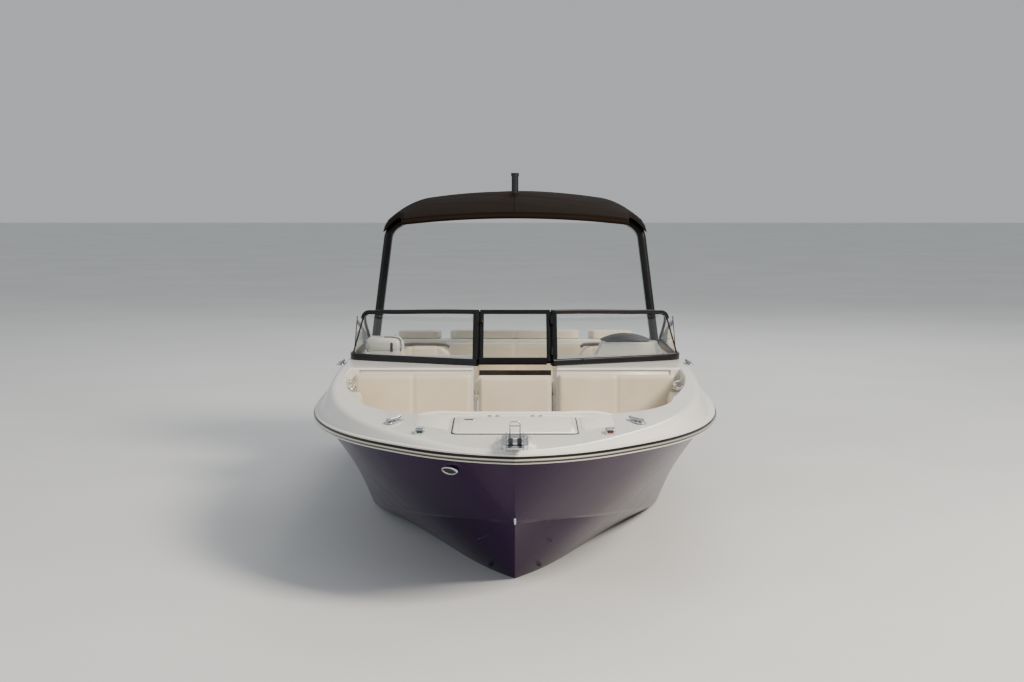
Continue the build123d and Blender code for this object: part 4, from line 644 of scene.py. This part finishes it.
def bar(name, points, wide, high, corners="AUTO", fine=8, round_by=0.006):
    """An extruded bar of oblong section through some points, kept upright."""
    clear()
    outline = rounded([(-wide / 2, -high / 2), (wide / 2, -high / 2), (wide / 2, high / 2),
                       (-wide / 2, high / 2)], round_by, 3)
    section = bpy.data.curves.new("section", "CURVE")
    edge = section.splines.new("POLY")
    edge.points.add(len(outline) - 1)
    for knot, point in zip(edge.points, outline):
        knot.co = (point[0], point[1], 0, 1)
    edge.use_cyclic_u = True
    shape = bpy.data.objects.new("section", section)
    data = curve(name, points, corners, fine).data
    data.twist_mode = "Z_UP"
    data.bevel_mode = "OBJECT"
    data.bevel_object = shape
    piece = meshed(40)
    bpy.data.objects.remove(shape)
    return piece


def straight(name, first, last, wide, high, round_by=0.006):
    """An extruded bar between two points."""
    return bar(name, [first, last], wide, high, "VECTOR", 1, round_by)


def joined(name, pieces):
    """Several meshes made one piece."""
    only(*pieces)
    bpy.ops.object.join()
    piece = bpy.context.object
    piece.name = name
    return piece


def slab(name, outline, thickness, round_by):
    """A plate from its outline of points, thickened upwards, its edges rounded."""
    mesh = bpy.data.meshes.new(name)
    mesh.from_pydata([tuple(p) for p in outline], [], [list(range(len(outline)))])
    piece = linked(name, mesh)
    editing(piece)
    bpy.ops.mesh.extrude_region_move(TRANSFORM_OT_translate={"value": (0, 0, thickness)})
    bpy.ops.mesh.select_all(action="SELECT")
    bpy.ops.mesh.normals_make_consistent(inside=False)
    bpy.ops.object.mode_set(mode="OBJECT")
    if round_by:
        shaped(piece, "BEVEL", width=round_by, segments=3, limit_method="ANGLE", angle_limit=0.6)
    smooth(piece)
    return piece


def rounded(corners, radius, steps=5):
    """A closed outline of (s, x) corners with rounded turns."""
    out = []
    count = len(corners)
    for i, corner in enumerate(corners):
        here = Vector(corner)
        to_last = (Vector(corners[i - 1]) - here).normalized()
        to_next = (Vector(corners[(i + 1) % count]) - here).normalized()
        reach = radius / math.tan(to_last.angle(to_next) / 2)
        first, last = here + to_last * reach, here + to_next * reach
        for k in range(steps + 1):
            t = k / steps
            out.append(first * (1 - t) ** 2 + here * (2 * t * (1 - t)) + last * t ** 2)
    return out


# The canvas top

# station, half breadth, height of its middle and of its sides, in millimetres
TOP_ROWS = [(3900, 815, 2038, 1992), (4640, 835, 2188, 2108), (5250, 800, 2112, 2052)]
TOP_STATION, TOP_REACH = 4575, 680      # the sheet's middle and half its length
HEM_X, HEM_Y, HEM_DEEP = 0.96, 0.97, 0.036      # shares where the hem turns down, its depth
ARCH_STATION, DRAPE_REACH = 4640, 640   # where the sheet is drawn down over the arch
DRAPE_FROM, DRAPE_OUT, DRAPE_DOWN = 0.72, 0.165, 0.195


def top_value(s, column):
    """A column of the top's table at any station, along a parabola."""
    return sum(row[column] * math.prod((s - other[0]) / (row[0] - other[0])
                                       for other in TOP_ROWS if other is not row)
               for row in TOP_ROWS)


def top_point(s, across):
    """The canvas at a station; across runs from -1 at starboard to 1 at port."""
    half = top_value(s, 1)
    middle, edge = top_value(s, 2), top_value(s, 3)
    return at(s, half * across, middle - (middle - edge) * across ** 2)


def make_canopy():
    """One sheet of canvas over the bows, hemmed round its rim, slack between the tubes."""
    clear()
    bpy.ops.mesh.primitive_grid_add(x_subdivisions=96, y_subdivisions=72, size=2)
    piece = bpy.context.object
    piece.name = "canvas_top"
    for vertex in piece.data.vertices:
        across, along = vertex.co.x, vertex.co.y
        inner_x = max(-1.0, min(1.0, across / HEM_X))
        inner_y = max(-1.0, min(1.0, along / HEM_Y))
        s = TOP_STATION + inner_y * TOP_REACH
        point = top_point(s, inner_x)
        drop_x = max(0.0, abs(across) - HEM_X) / (1 - HEM_X)
        drop_y = max(0.0, abs(along) - HEM_Y) / (1 - HEM_Y)
        point.x += math.copysign(0.012 * min(1, drop_x * 3), across) if drop_x else 0
        point.y += math.copysign(0.010 * min(1, drop_y * 3), along) if drop_y else 0
        point.z -= HEM_DEEP * max(drop_x, drop_y)
        slack = (1 - inner_x ** 2) ** 0.5 * (1 - inner_y ** 2)
        waver = s / 58 + 1.3 * math.sin(across * 3.1)
        fold = math.sin(waver) * (0.5 + 0.5 * math.cos(across * 5.3))
        ripple = math.sin(s / 23 + across * 9) * 0.3
        point.z += 0.0045 * slack * (fold + ripple) + 0.002
        if abs(across) > DRAPE_FROM and abs(s - ARCH_STATION) < DRAPE_REACH:
            share = (abs(across) - DRAPE_FROM) / (1 - DRAPE_FROM)
            pull = share * (0.5 + 0.5 * math.cos((s - ARCH_STATION) / DRAPE_REACH * math.pi))
            point.x += math.copysign(DRAPE_OUT * pull, across)
            point.z -= DRAPE_DOWN * pull * share
        vertex.co = point
    shaped(piece, "SOLIDIFY", thickness=0.002, offset=1)
    smooth(piece, 60)
    dressed(piece, "boat", "canvas", "canvas_dark", "canopy")
    seam = [top_point(s, 0) + Vector((0, 0, 0.0035)) for s in range(3905, 4416, 30)]
    ridge = tube("canvas_centre_seam", seam, 0.005)
    dressed(ridge, "boat", "canvas", "canvas_dark")
    rims = []
    for s in (3890, 5260):
        out = Vector((0, (s - TOP_STATION) / 685 * 0.010, -0.037))
        rim = [top_point(max(3900, min(5250, s)), k / 12) + out for k in range(-12, 13)]
        rims.append(tube("rim", rim, 0.006))
    hem = dressed(joined("canvas_hem", rims), "boat", "canvas", "canvas_dark")
    tag = slab("canvas_tag", path(1, (3889, -720, 1966), (3889, -650, 1972), (3893, -650, 1972),
                                  (3893, -720, 1966)), 0.022, 0.001)
    dressed(tag, "boat", "webbing", "upholstery")


make_canopy()


# Foredeck and its hardware

def field_of(low, high):
    """Corners of an oblong from two opposite (s, x) corners."""
    return [low, (low[0], high[1]), high, (high[0], low[1])]


def deck_panel(name, corners, turn, lift, thickness, round_by):
    """A plate that lies on the deck inside some (s, x) corners."""
    points = [on_deck(s, x, lift) for s, x in rounded(corners, turn)]
    return slab(name, points, thickness, round_by)


LOCKER_PLATES = [
    # name, corners, turn, lift over the deck, thickness, rounding, finish, slot
    ("locker_lid_panel", (458, -334), (923, 334), 36, 0.4, 0.0075, 0.003, "deck", "gelcoat_white"),
    ("locker_lid_grip", (486, -304), (897, 304), 24, 7.5, 0.0016, 0.0005, "grip", "gelcoat_white"),
    ("locker_latch_plate", (800, -285), (842, -213), 20, 8.5, 0.003, 0.001, "stainless",
     "stainless"),
    # the latch's finger recess drawn as a thin black sheet: painted shade
    ("locker_latch_recess_shade", (811, -272), (829, -232), 8, 11.5, 0.0006, 0, "rubber", "vinyl_black"),
]


def make_locker_panel():
    """The anchor locker's lid as it shows: raised border, a black tube as painted shade in the gap
    round the lid, and non-skid field.
    """
    edge = [on_deck(s, x, 1.5) for s, x in rounded(field_of((454, -338), (928, 338)), 38)]
    # a black rubber tube round the lid: painted shade for the shadowed gap
    seal = tube("locker_gap_shade", edge, 0.0035, closed=True, corners="VECTOR", fine=1)
    dressed(seal, "boat", "rubber", "vinyl_black")
    for name, low, high, turn, lift, thick, round_by, finish, slot in LOCKER_PLATES:
        plate = deck_panel(name, field_of(low, high), turn, lift, thick, round_by)
        dressed(plate, "locker_lid", finish, slot)


def make_foredeck_grip():
    """Non-skid fields beside the locker and on the walkway ahead of it."""
    for side, word in ((1, "port"), (-1, "starboard")):
        corners = [(560, side * 362), (930, side * 362), (1010, side * 540), (700, side * 545)]
        field = deck_panel(f"foredeck_grip_{word}", corners, 26, 0.3, 0.0016, 0.0005)
        dressed(field, "boat", "grip", "gelcoat_white")


def make_cockpit_lip():
    """The rounded lip that the bow cockpit's front edge is moulded with."""
    run = [on_deck(s, x, lift) for s, x, lift in (
        (1016, -566, -16), (1024, -500, 2), (1024, -250, 4), (1024, 0, 4), (1024, 250, 4),
        (1024, 500, 2), (1016, 566, -16))]
    dressed(tube("bow_cockpit_lip", run, 0.012, fine=12, sides=6), "boat", "deck", "gelcoat_white")


def make_roller_dressing():
    """What the bare channel lacks: moulded plinth, rubber roller, bolts and the keeper bail."""
    outline = rounded([(78, -112), (78, 112), (432, 96), (432, -96)], 34)
    plinth = slab("roller_plinth", [at(s, x, 872) for s, x in outline], 0.038, 0.012)
    dressed(plinth, "boat", "deck", "gelcoat_white")
    axle, waist = at(-25, 0, 940.3), 0.78
    roller = rod("rubber_roller", at(-25, -34, 940.3), at(-25, 34, 940.3), 0.0235, 40)
    editing(roller)
    bpy.ops.mesh.bisect(plane_co=(0, 0, 0), plane_no=(1, 0, 0))
    mesh = bmesh.from_edit_mesh(roller.data)
    for vertex in mesh.verts:
        if abs(vertex.co.x) < 0.002:
            middle = Vector((vertex.co.x, axle.y, axle.z))
            vertex.co = middle + (vertex.co - middle) * waist
    bmesh.update_edit_mesh(roller.data)
    bpy.ops.object.mode_set(mode="OBJECT")
    dressed(roller, "boat", "rubber", "rubber_black")
    bolts = [rod("bolt", at(s, side * 46, z), at(s, side * 52, z), 0.0075, 6, 0.001)
             for side in (1, -1) for s, z in ((-25, 940), (90, 936), (210, 930), (330, 922))]
    dressed(joined("roller_bolts", bolts), "boat", "stainless", "stainless")
    loop = path(1, (112, -26, 905), (112, -26, 1012), (112, -20, 1026), (112, 20, 1026),
                (112, 26, 1012), (112, 26, 905))
    bail = tube("roller_keeper", loop, 0.0032, corners="VECTOR")
    pin = rod("keeper_pin", at(112, -30, 1005), at(112, 30, 1005), 0.0035, 12)
    dressed(joined("roller_bail", [bail, pin]), "boat", "stainless", "stainless")


CLEATS = [
    # station, half breadth, turn from the keel in degrees, on which body
    (800, 668, 24), (2900, 1165, 4), (6480, 1060, 0),
]


def make_cleats():
    """Pull-up horn cleats, pushed down: an oval plate, two short stems and a low horn."""
    pieces = []
    for s, x, turn in CLEATS:
        lift = 0.4 - 5 if x > 1100 else 0.4     # the middle pair is let into the side deck
        for side in (1, -1):
            place = on_deck(s, side * x, lift)
            oval = rounded(field_of((s - 84, side * x - 30), (s + 84, side * x + 30)), 29)
            parts = [slab("plate", [at(a, b, crown(s) + lift) for a, b in oval], 0.005, 0.002)]
            for step in (-26, 26):
                foot = place + Vector((0, step / 1000, 0.003))
                parts.append(rod("stem", foot, foot + Vector((0, 0, 0.014)), 0.0085, 20))
            horn = [place + Vector((0, y, z)) for y, z in (
                (-0.076, 0.019), (-0.045, 0.016), (0, 0.015), (0.045, 0.016), (0.076, 0.019))]
            parts.append(tube("horn", horn, 0.0095, sides=5))
            cleat = joined("cleat", parts)
            editing(cleat)
            bpy.ops.transform.rotate(value=math.radians(-turn * side), orient_axis="Z",
                                     center_override=tuple(place))
            bpy.ops.object.mode_set(mode="OBJECT")
            pieces.append(cleat)
    dressed(joined("deck_cleats", pieces), "boat", "stainless", "stainless", "deck_fittings")


def make_bow_lights():
    """Two low stainless sidelights with dark lenses."""
    for side, word, lens_finish in ((1, "port", "red_lens"), (-1, "starboard", "green_lens")):
        place = on_deck(490, side * 507, 0)
        body = block(f"bow_light_{word}", place + Vector((-0.027, -0.042, -0.004)),
                     place + Vector((0.027, 0.042, 0.027)), 0.009, 4)
        dressed(body, "boat", "stainless", "stainless")
        glass = block(f"bow_light_lens_{word}", place + Vector((-0.017, -0.0445, 0.004)),
                      place + Vector((0.017, -0.028, 0.020)), 0.004, 3)
        dressed(glass, "boat", lens_finish, "vinyl_black")


def make_eyes():
    """The towing eye on the stem and the two stern eyes: forged rings on short stems."""
    rings = []
    for x, y, z, back in ((0, -2.85051, 0.449, 0.03), (0.930, 3.28621, 0.56, -0.03),
                          (-0.930, 3.28621, 0.56, -0.03)):
        place = Vector((x, y, z))
        eye = ring("eye", place, (0, math.pi / 2, 0), 0.018, 0.0062, 40, 14)
        stem = rod("stem", place + Vector((0, back * 0.55, 0)), place + Vector((0, back * 1.6, 0)),
                   0.0065, 20)
        rings += [eye, stem]
    dressed(joined("towing_eyes", rings), "boat", "stainless", "stainless")


def make_vent():
    """The oval stainless vent on the starboard bow: a drawn ring round its opening, with a black
    disc as painted shade in its dark inside.
    """
    oval = (1.4, 0.62, 1.0)
    normal = Vector((-0.504, -0.482, -0.716)).normalized()
    along = Vector((-0.545, 0.821, -0.169)).normalized()
    turn = Matrix((along, normal.cross(along), normal)).transposed().to_euler()
    place = at(341, -340, 742) + normal * 0.007
    rim = ring("hull_vent_ring", place, turn, 0.045, 0.0075, 56, 14, oval)
    dressed(rim, "boat", "stainless", "stainless", "hull_vent")
    # a black disc filling the ring: painted shade for the vent's dark inside
    clear()
    bpy.ops.mesh.primitive_circle_add(vertices=56, radius=0.045, fill_type="NGON", rotation=turn,
                                      location=place + normal * 0.001)
    shade_disc = settled("hull_vent_shade_disc", oval)
    shaped(shade_disc, "SOLIDIFY", thickness=0.004, offset=0)
    dressed(shade_disc, "boat", "rubber", "vinyl_black")


make_locker_panel()
make_foredeck_grip()
make_cockpit_lip()
make_roller_dressing()
make_cleats()
make_bow_lights()
make_eyes()
make_vent()


# Windshield: extruded rails and posts in black, drawn over the panes

# The line on which the walk-through gate's knuckles lie, at its port post
POST_FOOT, POST_HEAD = at(2762, 247, 1050), at(3051, 247, 1374)
POST_WAY = (POST_HEAD - POST_FOOT).normalized()
KNUCKLE_OUT = Vector((0, -0.0171, 0.0153))
KNUCKLES = (0.2, 0.8)   # their places along the post


def knuckle(share, low, high, radius):
    """One barrel of a gate hinge, between two reaches along the post in metres."""
    place = POST_FOOT.lerp(POST_HEAD, share) + KNUCKLE_OUT
    return rod("knuckle", place + POST_WAY * low, place + POST_WAY * high, radius, 24, 0.001)


def make_shield():
    """Base rails that wrap the corners, straight top rails, posts, seals and the gate's frame."""
    fixed, seals = [], []
    for side in (1, -1):
        base = path(side, (2758, 250, 1058), (2850, 470, 1059), (2975, 760, 1060),
                    (3080, 990, 1061), (3150, 1096, 1061), (3225, 1119, 1060),
                    (3400, 1117, 1059), (3900, 1112, 1054), (4390, 1107, 1048))
        fixed.append(bar("base_rail", base, 0.040, 0.046, fine=10, round_by=0.010))
        top = path(side, (3051, 250, 1376), (3150, 470, 1371), (3300, 800, 1358),
                   (3395, 985, 1349), (3440, 1050, 1336), (3452, 1070, 1300))
        fixed.append(bar("top_rail", top, 0.032, 0.030, round_by=0.008))
        fixed.append(straight("post", at(2762, side * 267, 1050), at(3051, side * 267, 1374),
                              0.034, 0.036))
        flank = path(side, (3450, 1056, 1318), (3640, 1072, 1270), (4385, 1104, 1084))
        fixed.append(bar("flank_rail", flank, 0.020, 0.022, round_by=0.005))
        corner = path(side, (3450, 1068, 1310), (3160, 1116, 1076))
        seals.append(tube("corner_seal", corner, 0.006, corners="VECTOR", fine=1))
        seals.append(straight("gate_seal", at(2772, side * 246, 1044), at(3061, side * 246, 1376),
                              0.020, 0.010, 0.002))
    fixed += [knuckle(share, low, high, 0.008) for share in KNUCKLES
              for low, high in ((-0.033, -0.012), (0.012, 0.033))]
    fixed.append(rod("button", at(2836, 452, 1066), at(2818, 452, 1068), 0.012, 24, 0.002))
    dressed(joined("shield_frame", fixed), "boat", "frame", "frame_black", "windshield_frame")
    dressed(joined("shield_seals", seals), "boat", "rubber", "vinyl_black")


def make_gate():
    """The walk-through pane's own frame, with a heavy foot, its knuckles and its latch."""
    parts = [straight("gate_top", at(3051, -237, 1376), at(3051, 237, 1376), 0.030, 0.030, 0.008),
             straight("gate_foot", at(2768, -237, 1068), at(2768, 212, 1068), 0.030, 0.048, 0.008)]
    parts += [straight("stile", at(2768, side * 224, 1060), at(3051, side * 224, 1372),
                       0.026, 0.028) for side in (1, -1)]
    parts += [knuckle(share, -0.011, 0.011, 0.0082) for share in KNUCKLES]
    parts.append(rod("latch", at(2985, -224, 1316), at(2958, -224, 1322), 0.010, 20, 0.003))
    gate = joined("gate_dressing", parts)
    dressed(gate, "windshield_gate", "frame", "frame_black", "gate_frame")
    cap = straight("door_cap", at(2668, -236, 1001), at(2668, 238, 1001), 0.022, 0.034)
    dressed(cap, "bow_door", "dark_metal", "frame_black")


NOSES = [
    # station, half breadth, height, radius as a multiple of the tip's
    ((790, 106, 318, 1), (870, 139, 286, 8), (950, 171, 254, 16), (1018, 197, 226, 27)),
    ((960, 96, 154, 1), (1030, 110, 122, 8), (1100, 123, 88, 16), (1168, 139, 53, 27)),
]
NOSE_TIP = 0.0006


def make_strake_noses():
    """The long feathered noses with which the spray strakes leave the bottom."""
    noses = []
    for run in NOSES:
        for side in (1, -1):
            data = curve("nose", path(side, *[row[:3] for row in run])).data
            for knot, row in zip(data.splines[0].bezier_points, run):
                knot.radius = row[3]
            data.bevel_depth = NOSE_TIP
            data.bevel_resolution = 4
            noses.append(meshed(60))
    dressed(joined("strake_noses", noses), "boat", "hull", "hull_purple")


make_shield()
make_gate()
make_strake_noses()


# Cockpit

def make_passenger_pod():
    """The starboard console's low inner half and its outboard hump, with a dark slot and welt."""
    form = cad_copy("console_forms", "consoles")
    cutter = block("cutter", at(3440, -800, 1004), at(3815, -540, 1200))
    shaped(form, "BOOLEAN", object=cutter, operation="DIFFERENCE", solver="EXACT")
    bpy.data.objects.remove(cutter)
    smooth(form)
    dressed(form, "boat", "liner", "gelcoat_liner", "consoles")
    shelf = block("console_shelf", at(3450, -802, 968), at(3788, -563, 1006), 0.006)
    dressed(shelf, "boat", "liner", "gelcoat_liner")
    pod = block("passenger_pod", at(3500, -1062, 1040), at(3730, -806, 1157), 0.045, 6)
    dressed(pod, "boat", "liner", "gelcoat_liner")
    slot = block("passenger_pod_slot", at(3494, -884, 1056), at(3512, -864, 1124), 0.008)
    dressed(slot, "boat", "rubber", "vinyl_black")
    run = path(-1, (3508, 812, 1050), (3510, 806, 1110), (3522, 818, 1146), (3530, 850, 1157),
               (3540, 930, 1160))
    dressed(tube("passenger_pod_welt", run, 0.004), "boat", "brown_vinyl", "upholstery")


GAUGES = [
    # sideways from the wheel, up the dash and radius in millimetres, ticks on the dial
    (-75, 96, 46, 13), (75, 96, 46, 13), (-112, 22, 18, 5), (0, 22, 18, 5), (112, 22, 18, 5),
]
DASH_OUT, DASH_UP = Vector((0, 0.928, 0.371)), Vector((0, -0.371, 0.928))
DASH_FOOT = (3800, 795, 970)    # the wheel's middle line at the dash's foot
FIRST_TICK, SWEEP = 225, 270    # degrees


def make_dials():
    """Round instruments: a bright bezel, a black dial, pale ticks and a red needle."""
    out, up = DASH_OUT, DASH_UP
    side, flat = up.cross(out), out.to_track_quat("Z", "Y").to_euler()
    rings, faces, marks, needles = [], [], [], []
    for dx, rise, radius, ticks in GAUGES:
        s, x, z = DASH_FOOT
        place = at(s - 0.371 * rise, x + dx, z + 0.928 * rise) + out * 0.0095
        r = radius / 1000
        rings.append(ring("bezel", place, flat, r - 0.002, 0.0028, 48, 10))
        faces.append(rod("dial", place - out * 0.002, place + out * 0.0007, r - 0.003, 48))
        for k in range(ticks):
            turn = math.radians(FIRST_TICK - SWEEP * k / (ticks - 1))
            way = side * math.cos(turn) + up * math.sin(turn)
            long = k % 2 == 0
            marks.append(rod("tick", place + out * 0.001 + way * r * (0.66 if long else 0.74),
                             place + out * 0.001 + way * r * 0.86, 0.0009 if long else 0.0006, 6))
        turn = math.radians(FIRST_TICK)
        way = side * math.cos(turn) + up * math.sin(turn)
        needles.append(rod("needle", place + out * 0.0022 - way * r * 0.15,
                           place + out * 0.0022 + way * r * 0.7, 0.0011, 6))
        needles.append(rod("hub", place + out * 0.0005, place + out * 0.0035, r * 0.11, 16))
    for name, parts, finish, slot in (("gauge_bezels", rings, "stainless", "stainless"),
                                      ("gauge_dials", faces, "black_plastic", "vinyl_black"),
                                      ("gauge_ticks", marks, "webbing", "gelcoat_white"),
                                      ("gauge_needles", needles, "red_lens", "vinyl_black")):
        dressed(joined(name, parts), "boat", finish, slot)


def make_seat_bands():
    """The brown welt over the top of both bucket seats' backs."""
    for side, body in ((1, "helm_seat"), (-1, "companion_seat")):
        run = [at(4684, side * x, z) for x, z in (
            (508, 984), (530, 999), (575, 1006), (700, 1008), (825, 1006), (870, 999), (892, 984))]
        band = bar(f"{body}_band", run, 0.094, 0.020, fine=6, round_by=0.008)
        dressed(band, body, "brown_vinyl", "upholstery")


def make_bow_handles():
    """Stainless grab handles on the bow cockpit's sides, ahead of the consoles."""
    rails = []
    for side in (1, -1):
        run = path(side, (2190, 1062, 946), (2196, 1036, 948), (2216, 1020, 950),
                   (2330, 1028, 954), (2450, 1036, 958), (2472, 1052, 960), (2480, 1080, 960))
        rails.append(tube("handle", run, 0.010, sides=6))
        for s, x, z in ((2190, 1056, 946), (2480, 1072, 960)):
            rails.append(rod("flange", at(s, side * x, z), at(s, side * (x + 8), z),
                             0.021, 32, 0.002))
    dressed(joined("bow_grab_handles", rails), "boat", "stainless", "stainless")


def make_arch_feet():
    """Cast plates under the arch's two feet, each held by four domed bolts."""
    plates, bolts = [], []
    for side in (1, -1):
        outline = rounded(field_of((4435, side * 1032), (4610, side * 1118)), 24)
        plates.append(slab("foot", [at(s, x, crown(s) + 0.3) for s, x in outline], 0.009, 0.003))
        plates.append(rod("collar", at(4520, side * 1075, 1040), at(4523, side * 1072, 1076),
                          0.046, 40, 0.006))
        for s, x in ((4452, 1046), (4452, 1104), (4594, 1046), (4594, 1104)):
            top = crown(s) + 9
            bolts.append(rod("bolt", at(s, side * x, top), at(s, side * x, top + 5),
                             0.0075, 16, 0.0025))
    dressed(joined("arch_foot_plates", plates), "boat", "aluminium", "frame_black")
    dressed(joined("arch_foot_bolts", bolts), "boat", "stainless", "stainless")


def make_platform_grip():
    """Non-skid panels on the swim platform."""
    fields = []
    for low, high in ((-1030, -362), (-350, 350), (362, 1030)):
        corners = rounded(field_of((6640, low), (7070, high)), 30)
        outline = [at(s, x, 373.5) for s, x in corners]
        fields.append(slab("field", outline, 0.004, 0.0015))
    dressed(joined("platform_grip", fields), "boat", "mat", "canvas_dark")


def make_carpet():
    """Woven vinyl mats snapped to the sole."""
    runs = [block("mat", at(*low, 261), at(*high, 267), 0.002, 2)
            for low, high in (((2700, -255), (3440, 255)), ((3470, -1040), (5040, 1040)))]
    dressed(joined("cockpit_mats", runs), "boat", "mat", "canvas_dark")
    front = block("bow_mat", at(1540, -232, 301), at(2630, 232, 307), 0.002, 2)
    dressed(front, "boat", "mat", "canvas_dark")


make_passenger_pod()
make_dials()
make_seat_bands()
make_bow_handles()
make_arch_feet()
make_platform_grip()
make_carpet()


# Floor, light and camera

def make_floor():
    """A wide plain floor at the waterline."""
    clear()
    bpy.ops.mesh.primitive_plane_add(size=160, location=(0, 20, 0))
    floor = settled("studio_floor")
    floor.data.materials.append(floor_paper())


def soft_box(name, place, aim, size, power, tone):
    """A square studio lamp turned to a point."""
    clear()
    bpy.ops.object.light_add(type="AREA", location=place)
    lamp = bpy.context.object
    lamp.name = name
    lamp.data.size = size
    lamp.data.energy = power
    lamp.data.color = colour(tone)[:3]
    turn = (Vector(aim) - Vector(place)).to_track_quat("-Z", "Y")
    lamp.rotation_euler = turn.to_euler()


def make_light():
    """Pale surroundings, a high key light from port ahead and a weak fill."""
    world = bpy.data.worlds.new("studio")
    bpy.context.scene.world = world
    world.use_nodes = True
    back = world.node_tree.nodes["Background"]
    back.inputs["Color"].default_value = colour("#E4E8EC")
    back.inputs["Strength"].default_value = 0.6
    soft_box("key", (9, -9, 10), (0, -0.5, 0.8), 4, 3300, "#FFF4E4")
    soft_box("fill", (-11, -9, 6), (0, 0, 0.8), 8, 300, "#EEF3FF")
    soft_box("back", (3, 12, 11), (0, 1, 0.5), 7, 700, "#FFFFFF")


EYE, PITCH, LENS = (0, -11.8, 2.21), 5.11, 59.8     # metres, degrees down, millimetres


def make_camera():
    """The photograph's view: from ahead, a little above the windshield's rail."""
    clear()
    turn = (math.pi / 2 - math.radians(PITCH), 0, 0)
    bpy.ops.object.camera_add(location=EYE, rotation=turn)
    camera = bpy.context.object
    camera.name = "photo_camera"
    camera.data.lens = LENS
    camera.data.sensor_width = 36
    camera.data.shift_x = -3 / 1024
    camera.data.clip_end = 300
    bpy.context.scene.camera = camera


make_floor()
make_light()
make_camera()
